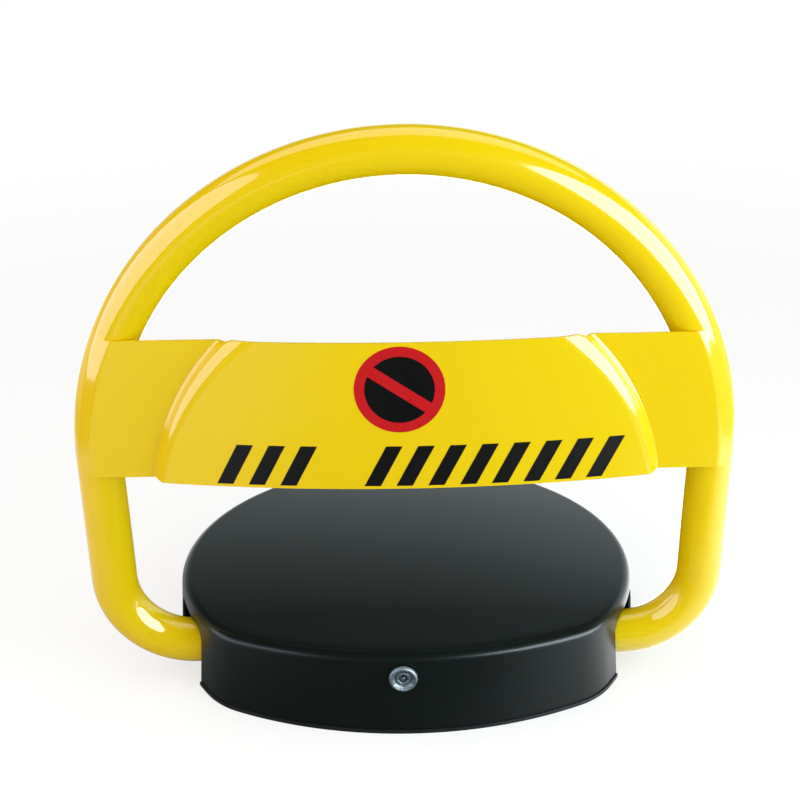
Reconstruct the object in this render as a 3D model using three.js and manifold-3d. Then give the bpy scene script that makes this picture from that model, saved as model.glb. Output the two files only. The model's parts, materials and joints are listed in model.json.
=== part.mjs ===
// Folding parking lock: a bent tube arm with a pressed sign plate folds back over a dark cover.
// Millimetres. Origin on the ground, under the middle of the arm's pivot axis.
// X runs to the right along the pivot axis, Y back to where the arm folds, Z up.
import * as THREE from "three";
import { mergeVertices } from "three/addons/utils/BufferGeometryUtils.js";
import Module from "manifold-3d";

const wasm = await Module();
wasm.setup();

// Clearances shared by all pieces
const fitGap = 0.3;
const runGap = 1;
const cutOver = 5;

// Arm
const armWidth = 460;
const tubeDiameter = 32.5;
const tubeWall = 2;
const bendRadius = 55.5;
const ringRise = 155;
const stubLength = 45;

// Sign plate, heights above the pivot axis
const plateThickness = 2;
const plateBottom = 147.8;
const plateHeight = 100.8;
const bumpCentreRise = 125.5;
const bumpSideFlat = 38.25;
const bumpWallWidth = 6;
const bumpShoulderWidthBottom = 3;
const bumpShoulderWidthTop = 14;
const bumpShoulderDropBottom = 1;
const bumpShoulderDropTop = 3.4;
const bumpDepthBottom = 23.5;
const bumpDepthTop = 17.6;
const bumpSideFall = 15.8;
const bumpTopRise = 2.9;

// Base plate, drawn as a big circle closed by a shallow front arc
const baseSideGap = 18.5;
const baseFrontY = -81;
const baseFrontCut = 29;
const baseFrontRadius = 283;
const baseCornerRadius = 60;
const baseThickness = 3;
const baseNotchInset = 29;
const baseNotchCornerRadius = 6;
const anchorHoleDiameter = 12;
const anchorFrontSpacing = 220;
const anchorFrontInset = 43;
const anchorRearSpacing = 120;
const anchorRearInset = 45;

// Cover
const coverWall = 1.6;
const coverLip = 1;
const coverLean = 3.5;
const coverRimRadius = 7.5;
const coverAboveGearbox = 5.9;
const coverLevelEndY = -20;
const coverRearDrop = 18;
const coverSideDrop = 6;
const coverFallPower = 1.5;
const notchFront = 19;
const notchBack = 34;
const notchAbovePivot = 20;
const notchCornerRadius = 11;

// Cross shaft and its bearings
const shaftDiameter = 20;
const blockWidth = 16;
const blockDepth = 48;
const blockAboveBore = 10;
const bushWall = 2.7;
const bushFlange = 3;
const bushFlangeThickness = 2;
const plugFlangeThickness = 2;
const shaftInTube = 34;
const armBoltDiameter = 8;
const armBoltInset = 17;
const boltHeadHeight = 4;
const boltHeadDiameter = 13;

// Driven gear and pinion
const gearModule = 2;
const drivenTeeth = 22;
const pinionTeeth = 10;
const gearWidth = 14;
const gearSideGap = 6;
const pressureAngle = 25;
const addendumShare = 0.8;
const dedendumShare = 1.05;
const gearBacklash = 0.5;
const keyWidth = 6;
const keyHeight = 6;
const keyLength = 12;
const gearFloorGap = 1.4;

// Gearbox with its worm pair
const outputDiameter = 10;
const wormModule = 1.25;
const wheelTeeth = 24;
const wheelWidth = 8;
const wheelBacklash = 0.9;
const wormPitchRadius = 5;
const wormLength = 26;
const wormThreadBacklash = 0.5;
const wormShaftDiameter = 4;
const housingWall = 2.5;
const housingSideWall = 6;
const housingLidThickness = 2;
const housingInnerGap = 0.6;
const lidBoltDiameter = 3;
const lidBoltLength = 12;
const lidBoltHeadDiameter = 5.5;
const lidBoltHeadHeight = 2;
const lidBoltSpacingY = 28;

// Motor
const motorDiameter = 28;
const motorFloorGap = 0.7;
const motorLength = 50;
const motorCanWall = 1.2;
const motorCapLength = 6;
const armatureDiameter = 20;
const armatureLength = 34;
const clampThickness = 2;
const clampWidth = 14;
const clampFoot = 12;

// Stops of the fold
const collarWidth = 12;
const stopCollarRadius = 15.5;
const stopLugReach = 26;
const stopLugThickness = 10;
const stopPadThickness = 3;
const stopPostDepth = 6;
const stopPadHeight = 7;
const stopFloor = 8;

// Position magnet and sensor
const magnetCollarWidth = 10;
const magnetCollarRadius = 15;
const magnetDiameter = 6;
const magnetThickness = 2.8;
const sensorThickness = 2.5;
const sensorWidth = 6;
const sensorHeight = 9;
const sensorGap = 1.5;
const sensorFootDepth = 7;
const sensorFootThickness = 3;
const sensorFootWidth = 10;

// Batteries and their trays
const cellDiameter = 33.5;
const cellLength = 60;
const cellNubDiameter = 9;
const cellNubHeight = 1.5;
const trayWall = 2;
const traySideGap = 5;
const trayContactSpace = 3;

// Control box
const boxWidth = 96;
const boxDepth = 34;
const boxMotorGap = 6;
const boxHeight = 34;
const boxWall = 2;
const boxLidThickness = 2.2;
const gasketThickness = 1.5;
const boardThickness = 1.6;
const boardStandHeight = 6;
const boardStandDiameter = 7;
const boardMargin = 4;
const buzzerDiameter = 14;
const buzzerHeight = 9;
const buzzerHoleDiameter = 2;
const antennaDiameter = 2.5;
const antennaGap = 5;

// Cover lock
const lockX = -5;
const lockZ = 46;
const lockFaceDiameter = 20;
const lockFaceThickness = 3;
const lockBarrelDiameter = 16;
const lockBarrelLength = 16;
const lockCylinderDiameter = 11;
const lockNutThickness = 3;
const lockNutAcross = 20;
const keySlotWidth = 2;
const keySlotHeight = 7;
const keySlotDepth = 5;
const camThickness = 2;
const camWidth = 10;
const camLength = 25;
const camScrewDiameter = 4;
const camScrewHeadDiameter = 8;
const camScrewHeadHeight = 2.5;
const camScrewLength = 6;
const catchThickness = 2.5;
const catchDepth = 14;
const catchOverlap = 12;
const catchFoot = 16;
const rearHookHeight = 30;
const rearHookWidth = 30;
const rearHookFoot = 14;
const rearHookThickness = 2;

// Cables between the units
const cableDiameter = 4;
const cableStations = 4;
const sensorCableZ = 12;

// Facets of round forms, small to large
const smallCurve = 6;
const mediumCurve = 8;
const usualCurve = 10;
const wideCurve = 12;
const faceCurve = 14;
const tubeSides = 16;
const bendSteps = 7;
const ringSteps = 22;
const plateRows = 9;
const crownColumns = 5;
const shoulderColumns = 3;
const wallColumns = 5;
const outlineSteps = 44;
const outlineFrontSteps = 10;
const outlineCornerSteps = 5;
const threadStepsPerTurn = 12;

// Colours and finishes
function finish(color, roughness, metalness) {
  return { color, roughness, metalness };
}
const yellowPaint = finish(0xf2cf14, 0.3, 0);
const darkPaint = finish(0x262b2b, 0.45, 0.1);
const steel = finish(0x9a9ea3, 0.4, 0.9);
const darkSteel = finish(0x55595e, 0.5, 0.8);
const bronze = finish(0xb08848, 0.4, 0.9);
const brass = finish(0xc7a34c, 0.35, 0.9);
const castAlloy = finish(0xa4a7ab, 0.6, 0.6);
const rubber = finish(0x1b1b1b, 0.9, 0);
const blackPlastic = finish(0x1f2022, 0.6, 0);
const greyPlastic = finish(0x8b8f92, 0.6, 0);
const boardGreen = finish(0x1f6b3a, 0.5, 0);
const chrome = finish(0xd5d8dc, 0.15, 1);
const cellJacket = finish(0x2f6a4a, 0.4, 0.3);
const redJacket = finish(0x9c1f1f, 0.6, 0);

// Helpers that turn geometry into solids and back
function solidOf(geometry) {
  const bare = geometry.clone();
  bare.deleteAttribute("normal");
  bare.deleteAttribute("uv");
  const merged = mergeVertices(bare);
  return new wasm.Manifold(
    new wasm.Mesh({
      numProp: 3,
      vertProperties: merged.attributes.position.array,
      triVerts: new Uint32Array(merged.index.array),
    }),
  );
}

function geometryOf(solid) {
  const mesh = solid.getMesh();
  const indexed = new THREE.BufferGeometry();
  indexed.setAttribute("position", new THREE.BufferAttribute(mesh.vertProperties, 3));
  indexed.setIndex(new THREE.BufferAttribute(mesh.triVerts, 1));
  const geometry = indexed.toNonIndexed();
  geometry.computeVertexNormals();
  return geometry;
}

function joined(first, ...others) {
  return others.reduce((whole, piece) => whole.add(piece), first);
}

function cut(first, ...others) {
  return others.reduce((whole, piece) => whole.subtract(piece), first);
}

// A prism stands on a drawn outline. Along x the outline's axes are Y and Z, along y they are Z and X,
// and along z they are X and Y.
const prismBases = {
  x: [[0, 1, 0], [0, 0, 1], [1, 0, 0]],
  y: [[0, 0, 1], [1, 0, 0], [0, 1, 0]],
  z: [[1, 0, 0], [0, 1, 0], [0, 0, 1]],
};

function prism(axis, outline, from, to, curveSegments = wideCurve) {
  const geometry = new THREE.ExtrudeGeometry(outline, {
    depth: to - from,
    bevelEnabled: false,
    curveSegments,
  });
  geometry.translate(0, 0, from);
  const [first, second, third] = prismBases[axis].map((v) => new THREE.Vector3(...v));
  geometry.applyMatrix4(new THREE.Matrix4().makeBasis(first, second, third));
  return solidOf(geometry);
}

function disc(u, v, radius) {
  const outline = new THREE.Shape();
  outline.absarc(u, v, radius, 0, 2 * Math.PI, false);
  return outline;
}

function rectangle(uFrom, uTo, vFrom, vTo) {
  const outline = new THREE.Shape();
  outline.moveTo(uFrom, vFrom);
  outline.lineTo(uTo, vFrom);
  outline.lineTo(uTo, vTo);
  outline.lineTo(uFrom, vTo);
  outline.closePath();
  return outline;
}

function roundedRectangle(uFrom, uTo, vFrom, vTo, radius) {
  const outline = new THREE.Shape();
  const quarter = Math.PI / 2;
  outline.absarc(uTo - radius, vFrom + radius, radius, -quarter, 0, false);
  outline.absarc(uTo - radius, vTo - radius, radius, 0, quarter, false);
  outline.absarc(uFrom + radius, vTo - radius, radius, quarter, 2 * quarter, false);
  outline.absarc(uFrom + radius, vFrom + radius, radius, 2 * quarter, 3 * quarter, false);
  outline.closePath();
  return outline;
}

function hexagon(u, v, acrossFlats, turn = 0) {
  const corner = acrossFlats / Math.sqrt(3);
  const points = [];
  for (let side = 0; side < 6; side += 1) {
    const angle = turn + (side * Math.PI) / 3;
    points.push(new THREE.Vector2(u + corner * Math.cos(angle), v + corner * Math.sin(angle)));
  }
  return new THREE.Shape(points);
}

function block(x, y, z) {
  return prism("z", rectangle(x[0], x[1], y[0], y[1]), z[0], z[1]);
}

function rod(axis, u, v, radius, from, to, curveSegments = usualCurve) {
  return prism(axis, disc(u, v, radius), from, to, curveSegments);
}

function ring(axis, u, v, outerRadius, innerRadius, from, to, curveSegments = usualCurve) {
  const outline = disc(u, v, outerRadius);
  outline.holes.push(disc(u, v, innerRadius));
  return prism(axis, outline, from, to, curveSegments);
}

function span(one, other) {
  return [Math.min(one, other), Math.max(one, other)];
}

const lock = new THREE.Group();

function add(name, solid, look) {
  const mesh = new THREE.Mesh(geometryOf(solid), new THREE.MeshStandardMaterial(look));
  mesh.name = name;
  lock.add(mesh);
}

// A path of stations. Each station is one ring of the tube that follows it.
class StationPath extends THREE.Curve {
  constructor(stations) {
    super();
    this.stations = stations;
  }
  get steps() {
    return this.stations.length - 1;
  }
  stationAt(share) {
    return this.stations[Math.round(share * this.steps)];
  }
  getPoint(share) {
    return this.stationAt(share).point.clone();
  }
  getPointAt(share) {
    return this.getPoint(share);
  }
  getTangent(share) {
    return this.stationAt(share).tangent.clone();
  }
  getTangentAt(share) {
    return this.getTangent(share);
  }
}

// Heights of the axes: the driven gear and the motor clear the base plate, the worm lies under its wheel
const drivenTipRadius = (drivenTeeth * gearModule) / 2 + addendumShare * gearModule;
const pivotHeight = baseThickness + gearFloorGap + drivenTipRadius;
const motorRadius = motorDiameter / 2;
const wormZ = baseThickness + motorFloorGap + motorRadius;
const wheelPitchRadius = (wheelTeeth * wormModule) / 2;
const wheelTipRadius = wheelPitchRadius + addendumShare * wormModule;
const outputZ = wormZ + wormPitchRadius + wheelPitchRadius + fitGap;
const housingTopZ = outputZ + wheelTipRadius + housingInnerGap;
const gearboxTopZ = housingTopZ + housingLidThickness + lidBoltHeadHeight;

// Arm: a ring with straight legs and two bends that bring its ends in along the pivot axis
const tubeRadius = tubeDiameter / 2;
const ringRadius = armWidth / 2 - tubeRadius;
const ringCentreZ = pivotHeight + ringRise;
const bendCentreX = ringRadius - bendRadius;
const bendCentreZ = pivotHeight + bendRadius;
const shaftRadius = shaftDiameter / 2;
const bushRadius = shaftRadius + fitGap + bushWall;
const tubeEndX = bendCentreX - stubLength;
const bushFlangeEndX = tubeEndX - plugFlangeThickness - runGap;
const blockOuterX = bushFlangeEndX - bushFlangeThickness - fitGap;
const blockInnerX = blockOuterX - blockWidth;
const armBoltX = tubeEndX + armBoltInset;
const shaftEndX = tubeEndX + shaftInTube;

function arcStations(centreX, centreZ, radius, fromAngle, toAngle, count) {
  const stations = [];
  const turn = Math.sign(toAngle - fromAngle);
  for (let i = 0; i <= count; i += 1) {
    const angle = fromAngle + ((toAngle - fromAngle) * i) / count;
    const outward = new THREE.Vector3(Math.cos(angle), 0, Math.sin(angle));
    stations.push({
      point: new THREE.Vector3(centreX, 0, centreZ).addScaledVector(outward, radius),
      tangent: new THREE.Vector3(-Math.sin(angle), 0, Math.cos(angle)).multiplyScalar(turn),
    });
  }
  return stations;
}

function armPath() {
  const end = { point: new THREE.Vector3(tubeEndX, 0, pivotHeight), tangent: new THREE.Vector3(1, 0, 0) };
  const right = [end, ...arcStations(bendCentreX, bendCentreZ, bendRadius, -Math.PI / 2, 0, bendSteps)];
  const left = right.map((station) => ({
    point: station.point.clone().setX(-station.point.x),
    tangent: new THREE.Vector3(station.tangent.x, 0, -station.tangent.z),
  }));
  const top = arcStations(0, ringCentreZ, ringRadius, 0, Math.PI, ringSteps);
  return new StationPath([...right, ...top, ...left.reverse()]);
}

function tubeAlong(path, outerRadius, innerRadius, sides) {
  const outline = disc(0, 0, outerRadius);
  if (innerRadius > 0) {
    outline.holes.push(disc(0, 0, innerRadius));
  }
  return new THREE.ExtrudeGeometry(outline, {
    steps: path.steps,
    extrudePath: path,
    curveSegments: sides / 2,
  });
}

function armBoltHole(side) {
  return rod("z", side * armBoltX, 0, armBoltDiameter / 2 + fitGap, 0, pivotHeight + tubeDiameter);
}

function armTube() {
  const tube = solidOf(tubeAlong(armPath(), tubeRadius, tubeRadius - tubeWall, tubeSides));
  return cut(tube, armBoltHole(-1), armBoltHole(1));
}
add("arm_tube", armTube(), yellowPaint);

// Plugs that centre the cross shaft in the tube's ends, and the bolts that pin tube, plug and shaft
const plugRadius = tubeRadius - tubeWall - fitGap;

function endPlug(side) {
  const bore = shaftRadius + fitGap;
  const flangeEndX = tubeEndX - fitGap;
  const sleeveSpan = span(side * (tubeEndX - plugFlangeThickness / 2), side * (shaftEndX + fitGap));
  const flangeSpan = span(side * (tubeEndX - plugFlangeThickness), side * flangeEndX);
  const sleeve = ring("x", 0, pivotHeight, plugRadius, bore, ...sleeveSpan);
  const flange = ring("x", 0, pivotHeight, tubeRadius, bore, ...flangeSpan);
  return cut(joined(sleeve, flange), armBoltHole(side));
}
add("left_end_plug", endPlug(-1), darkSteel);
add("right_end_plug", endPlug(1), darkSteel);

function armBolt(side) {
  const x = side * armBoltX;
  const top = pivotHeight + tubeRadius + fitGap;
  const bottom = pivotHeight - tubeRadius - fitGap;
  const shank = rod("z", x, 0, armBoltDiameter / 2, bottom, top);
  const head = prism("z", hexagon(x, 0, boltHeadDiameter), top, top + boltHeadHeight);
  const nut = prism("z", hexagon(x, 0, boltHeadDiameter), bottom - boltHeadHeight, bottom);
  return joined(shank, head, nut);
}
add("left_arm_bolt", armBolt(-1), steel);
add("right_arm_bolt", armBolt(1), steel);

// Sign plate: a pressed sheet on the front of the ring. From a round foot a short steep wall and a
// softer shoulder lead to a crowned middle, whose top edge stands a little higher than the flat ends.
const plateBackY = -(tubeRadius + fitGap);
const plateFrontY = plateBackY - plateThickness;
const bumpFootRadius = ringRadius - bumpSideFlat;
const { lerp, smoothstep } = THREE.MathUtils;

function circleHalfWidth(radius, rise) {
  return Math.sqrt(Math.max(0, radius * radius - rise * rise));
}

function upPlate(rise) {
  return (rise - plateBottom) / plateHeight;
}

function shoulderWidthAt(rise) {
  return lerp(bumpShoulderWidthBottom, bumpShoulderWidthTop, upPlate(rise));
}

function insideFoot(x, rise) {
  return bumpFootRadius - Math.hypot(x, rise - bumpCentreRise);
}

function bumpDepth(x, rise) {
  const inside = insideFoot(x, rise);
  if (inside <= 0) {
    return 0;
  }
  const up = upPlate(rise);
  const width = shoulderWidthAt(rise);
  const drop = lerp(bumpShoulderDropBottom, bumpShoulderDropTop, up);
  const crown = lerp(bumpDepthBottom, bumpDepthTop, up) - bumpSideFall * (x / bumpFootRadius) ** 2;
  if (inside >= bumpWallWidth) {
    return crown - drop * Math.max(0, 1 - (inside - bumpWallWidth) / width) ** 2;
  }
  const share = inside / bumpWallWidth;
  const slope = (2 * drop * bumpWallWidth) / width;
  return (crown - drop) * share ** 2 * (3 - 2 * share) - slope * share ** 2 * (1 - share);
}

// How much higher a place of the raised middle is than the flat ends' place in the same row
function bumpLift(x, rise) {
  return bumpTopRise * upPlate(rise) * smoothstep(insideFoot(x, rise), bumpWallWidth / 2, bumpWallWidth * 1.5);
}

// One row of places across the plate: the crowned middle, its shoulder and wall, and the flat ends
function plateRow(rise) {
  const halfWidth = (radius) => circleHalfWidth(radius, rise - bumpCentreRise);
  const crown = halfWidth(bumpFootRadius - bumpWallWidth - shoulderWidthAt(rise));
  const shoulder = halfWidth(bumpFootRadius - bumpWallWidth);
  const foot = halfWidth(bumpFootRadius);
  const end = circleHalfWidth(ringRadius, Math.max(0, rise - ringRise));
  const right = [];
  const spread = (from, to, count) => {
    for (let i = 1; i <= count; i += 1) {
      right.push(lerp(from, to, i / count));
    }
  };
  spread(0, crown, crownColumns);
  spread(crown, shoulder, shoulderColumns);
  spread(shoulder, foot, wallColumns);
  right.push((foot + end) / 2, end);
  return [...right.map((x) => -x).reverse(), 0, ...right];
}

function signPlate() {
  const rows = plateRows;
  const positions = [];
  for (let layer = 0; layer < 2; layer += 1) {
    for (let row = 0; row < rows; row += 1) {
      const rise = plateBottom + (plateHeight * row) / (rows - 1);
      for (const x of plateRow(rise)) {
        const y = plateFrontY - bumpDepth(x, rise) + layer * plateThickness;
        positions.push(x, y, pivotHeight + rise + bumpLift(x, rise));
      }
    }
  }
  const columns = plateRow(plateBottom).length;
  const index = (layer, row, column) => (layer * rows + row) * columns + column;
  const faces = [];
  const quad = (a, b, c, d) => faces.push(a, b, c, a, c, d);
  for (let row = 0; row + 1 < rows; row += 1) {
    for (let column = 0; column + 1 < columns; column += 1) {
      const corners = (layer) => [
        index(layer, row, column),
        index(layer, row, column + 1),
        index(layer, row + 1, column + 1),
        index(layer, row + 1, column),
      ];
      quad(...corners(0));
      quad(...corners(1).reverse());
    }
    const last = columns - 1;
    quad(index(0, row, 0), index(0, row + 1, 0), index(1, row + 1, 0), index(1, row, 0));
    quad(index(0, row, last), index(1, row, last), index(1, row + 1, last), index(0, row + 1, last));
  }
  for (let column = 0; column + 1 < columns; column += 1) {
    const top = rows - 1;
    quad(index(0, 0, column), index(1, 0, column), index(1, 0, column + 1), index(0, 0, column + 1));
    quad(
      index(0, top, column),
      index(0, top, column + 1),
      index(1, top, column + 1),
      index(1, top, column),
    );
  }
  const geometry = new THREE.BufferGeometry();
  geometry.setAttribute("position", new THREE.Float32BufferAttribute(positions, 3));
  geometry.setIndex(faces);
  return solidOf(geometry);
}
add("sign_plate", signPlate(), yellowPaint);

// Base plate and cover share one outline, drawn in by an inset. It fits between the legs of the arm.
const baseRadius = ringRadius - tubeRadius - baseSideGap;
const baseCentreY = baseFrontY - baseFrontCut + baseRadius;
const baseRearY = baseCentreY + baseRadius;

function baseOutline(inset) {
  const bigCentre = new THREE.Vector2(0, baseCentreY);
  const frontCentre = new THREE.Vector2(0, baseFrontY + baseFrontRadius);
  const toBig = baseRadius - baseCornerRadius;
  const toFront = baseFrontRadius - baseCornerRadius;
  const apart = frontCentre.y - bigCentre.y;
  const cornerY = bigCentre.y + (toBig ** 2 - toFront ** 2 + apart ** 2) / (2 * apart);
  const corner = new THREE.Vector2(circleHalfWidth(toBig, cornerY - bigCentre.y), cornerY);
  const bigAngle = corner.clone().sub(bigCentre).angle() - 2 * Math.PI;
  const frontAngle = corner.clone().sub(frontCentre).angle() - 2 * Math.PI;
  const points = [];
  const arc = (centre, radius, from, to, count) => {
    for (let i = 0; i < count; i += 1) {
      const angle = from + ((to - from) * i) / count;
      points.push(
        new THREE.Vector2(centre.x + radius * Math.cos(angle), centre.y + radius * Math.sin(angle)),
      );
    }
  };
  const mirrored = new THREE.Vector2(-corner.x, corner.y);
  arc(bigCentre, baseRadius - inset, bigAngle, Math.PI - bigAngle, outlineSteps);
  arc(mirrored, baseCornerRadius - inset, Math.PI - bigAngle, Math.PI - frontAngle, outlineCornerSteps);
  arc(frontCentre, baseFrontRadius - inset, -Math.PI - frontAngle, frontAngle, outlineFrontSteps);
  arc(corner, baseCornerRadius - inset, frontAngle, bigAngle, outlineCornerSteps);
  return points;
}

function anchorPlaces() {
  const rows = [
    [anchorFrontSpacing, baseFrontY + anchorFrontInset],
    [anchorRearSpacing, baseRearY - anchorRearInset],
  ];
  return rows.flatMap(([spacing, y]) => [[-spacing / 2, y], [spacing / 2, y]]);
}

// The base plate is cut away below the tube's ends, where the cover has its notches
function basePlate() {
  const outline = new THREE.Shape(baseOutline(0));
  for (const [x, y] of anchorPlaces()) {
    outline.holes.push(disc(x, y, anchorHoleDiameter / 2));
  }
  const reach = baseRadius + cutOver;
  const inner = baseRadius - baseNotchInset;
  const notches = [[inner, reach], [-reach, -inner]].map(([from, to]) => prism(
    "z",
    roundedRectangle(from, to, -notchFront, notchBack, baseNotchCornerRadius),
    -cutOver,
    baseThickness + cutOver,
  ));
  return cut(prism("z", outline, 0, baseThickness), ...notches);
}
add("base_plate", basePlate(), darkSteel);

const coverTop = gearboxTopZ + coverAboveGearbox;

function coverTopAt(x, y) {
  const back = Math.max(0, (y - coverLevelEndY) / (baseRearY - coverLevelEndY));
  return coverTop - coverRearDrop * back ** coverFallPower - coverSideDrop * (x / baseRadius) ** 2;
}

// Rings of the cover's top between its rim and its middle
const coverTopShares = [0.66, 0.33];

// A closed body under the cover's outer face, drawn in on all sides by the given depth
function coverBody(depth, bottom) {
  const foot = baseOutline(coverLip + depth);
  const inner = baseOutline(coverLip + coverLean + coverRimRadius + depth);
  const edge = baseOutline(coverLip + coverLean + depth);
  const count = foot.length;
  const rings = [];
  rings.push(foot.map((p) => [p.x, p.y, bottom]));
  for (const turn of [0, 1, 2]) {
    const angle = (turn * Math.PI) / 4;
    rings.push(
      edge.map((p, i) => {
        const x = p.x + (inner[i].x - p.x) * (1 - Math.cos(angle));
        const y = p.y + (inner[i].y - p.y) * (1 - Math.cos(angle));
        const rim = coverTopAt(inner[i].x, inner[i].y) - depth;
        return [x, y, rim - coverRimRadius * (1 - Math.sin(angle))];
      }),
    );
  }
  for (const share of coverTopShares) {
    rings.push(
      inner.map((p) => {
        const x = p.x * share;
        const y = baseCentreY + (p.y - baseCentreY) * share;
        return [x, y, coverTopAt(x, y) - depth];
      }),
    );
  }
  const positions = rings.flat(2);
  positions.push(0, baseCentreY, coverTopAt(0, baseCentreY) - depth, 0, baseCentreY, bottom);
  const topCentre = rings.length * count;
  const faces = [];
  for (let i = 0; i < count; i += 1) {
    const next = (i + 1) % count;
    for (let level = 0; level + 1 < rings.length; level += 1) {
      const low = level * count;
      const high = low + count;
      faces.push(low + i, low + next, high + next, low + i, high + next, high + i);
    }
    const last = (rings.length - 1) * count;
    faces.push(last + i, last + next, topCentre, next, i, topCentre + 1);
  }
  const geometry = new THREE.BufferGeometry();
  geometry.setAttribute("position", new THREE.Float32BufferAttribute(positions, 3));
  geometry.setIndex(faces);
  return solidOf(geometry);
}

// Where the leaning front wall is at a height
function coverFrontAt(z) {
  const wallTop = coverTop - coverRimRadius;
  return baseFrontY + coverLip + (coverLean * (z - baseThickness)) / (wallTop - baseThickness);
}

function coverShell() {
  const shell = coverBody(0, baseThickness).subtract(coverBody(coverWall, baseThickness - cutOver));
  const notch = roundedRectangle(
    -notchFront,
    notchBack,
    -notchCornerRadius,
    pivotHeight + notchAbovePivot,
    notchCornerRadius,
  );
  const reach = baseRadius + cutOver;
  const notches = [
    prism("x", notch, bendCentreX / 2, reach, 4),
    prism("x", notch, -reach, -bendCentreX / 2, 4),
  ];
  const lockHole = rod(
    "y",
    lockZ,
    lockX,
    lockBarrelDiameter / 2 + fitGap,
    baseFrontY - cutOver,
    baseFrontY + lockBarrelLength,
  );
  return cut(shell, ...notches, lockHole);
}
add("cover", coverShell(), darkPaint);

// Cross shaft in bronze bushes, held by two blocks on the base plate
function crossShaft() {
  const shaft = rod("x", 0, pivotHeight, shaftRadius, -shaftEndX, shaftEndX, wideCurve);
  return cut(shaft, armBoltHole(-1), armBoltHole(1), keyway());
}

const housingInnerHalf = wheelWidth / 2 + runGap;
const housingHalf = housingInnerHalf + housingSideWall;
const gearFromX = housingHalf + gearSideGap;
const gearToX = gearFromX + gearWidth;
const gearMiddleX = (gearFromX + gearToX) / 2;
const keyBottomZ = pivotHeight + shaftRadius - keyHeight / 2;

function keyway() {
  return block(
    [gearMiddleX - keyLength / 2 - fitGap, gearMiddleX + keyLength / 2 + fitGap],
    [-keyWidth / 2 - fitGap, keyWidth / 2 + fitGap],
    [keyBottomZ - fitGap, keyBottomZ + keyHeight + fitGap],
  );
}
add("cross_shaft", crossShaft(), steel);

function bearingBlock(side) {
  const outline = rectangle(-blockDepth / 2, blockDepth / 2, baseThickness, pivotHeight);
  const crown = disc(0, pivotHeight, bushRadius + blockAboveBore);
  const [from, to] = span(side * blockInnerX, side * blockOuterX);
  const bore = rod("x", 0, pivotHeight, bushRadius + fitGap, from - cutOver, to + cutOver);
  return cut(joined(prism("x", outline, from, to), prism("x", crown, from, to)), bore);
}

function bush(side) {
  const inner = shaftRadius + fitGap;
  const flangeFromX = blockOuterX + fitGap;
  const sleeveSpan = span(side * blockInnerX, side * flangeFromX);
  const flangeSpan = span(side * flangeFromX, side * bushFlangeEndX);
  const sleeve = ring("x", 0, pivotHeight, bushRadius, inner, ...sleeveSpan);
  const flange = ring("x", 0, pivotHeight, bushRadius + bushFlange, inner, ...flangeSpan);
  return joined(sleeve, flange);
}
add("left_bearing_block", bearingBlock(-1), darkSteel);
add("right_bearing_block", bearingBlock(1), darkSteel);
add("left_bush", bush(-1), bronze);
add("right_bush", bush(1), bronze);

// Involute gears with stub teeth
function gearOutline(centreU, centreV, teeth, module, backlash, firstToothAngle) {
  const pitchRadius = (teeth * module) / 2;
  const pressure = THREE.MathUtils.degToRad(pressureAngle);
  const baseCircle = pitchRadius * Math.cos(pressure);
  const tipRadius = pitchRadius + addendumShare * module;
  const rootRadius = pitchRadius - dedendumShare * module;
  const involute = (radius) => {
    const slope = Math.acos(Math.min(1, baseCircle / radius));
    return Math.tan(slope) - slope;
  };
  const halfTooth = Math.PI / (2 * teeth) - backlash / (4 * pitchRadius) + involute(pitchRadius);
  const flank = [rootRadius, Math.max(baseCircle, rootRadius), pitchRadius, tipRadius];
  const points = [];
  const place = (radius, angle) => {
    points.push(new THREE.Vector2(centreU + radius * Math.cos(angle), centreV + radius * Math.sin(angle)));
  };
  for (let tooth = 0; tooth < teeth; tooth += 1) {
    const middle = firstToothAngle + (tooth * 2 * Math.PI) / teeth;
    for (const radius of flank) {
      place(radius, middle - halfTooth + involute(radius));
    }
    for (const radius of [...flank].reverse()) {
      place(radius, middle + halfTooth - involute(radius));
    }
  }
  return new THREE.Shape(points);
}

const gearDistance = ((drivenTeeth + pinionTeeth) * gearModule) / 2 + fitGap;
const outputY = circleHalfWidth(gearDistance, outputZ - pivotHeight);
const meshAngle = Math.atan2(outputZ - pivotHeight, outputY);
const outputRadius = outputDiameter / 2;

function drivenGear() {
  const outline = gearOutline(0, pivotHeight, drivenTeeth, gearModule, gearBacklash, meshAngle);
  outline.holes.push(disc(0, pivotHeight, shaftRadius + fitGap));
  return cut(prism("x", outline, gearFromX, gearToX), keyway());
}
add("driven_gear", drivenGear(), steel);

function gearKey() {
  return block(
    [gearMiddleX - keyLength / 2, gearMiddleX + keyLength / 2],
    [-keyWidth / 2, keyWidth / 2],
    [keyBottomZ, keyBottomZ + keyHeight],
  );
}
add("gear_key", gearKey(), darkSteel);

function outputPinion() {
  const gapAngle = meshAngle + Math.PI + Math.PI / pinionTeeth;
  const outline = gearOutline(outputY, outputZ, pinionTeeth, gearModule, gearBacklash, gapAngle);
  outline.holes.push(disc(outputY, outputZ, outputRadius + fitGap));
  return prism("x", outline, gearFromX, gearToX, mediumCurve);
}
add("output_pinion", outputPinion(), steel);

function outputShaft() {
  return rod("x", outputY, outputZ, outputRadius, -housingHalf, gearToX + runGap);
}
add("output_shaft", outputShaft(), steel);

// Worm pair in the gearbox: the worm lies under the wheel, along Y
const wormLead = Math.PI * wormModule;
const wormTipRadius = wormPitchRadius + addendumShare * wormModule;
const wormRootRadius = wormPitchRadius - dedendumShare * wormModule;

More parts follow.
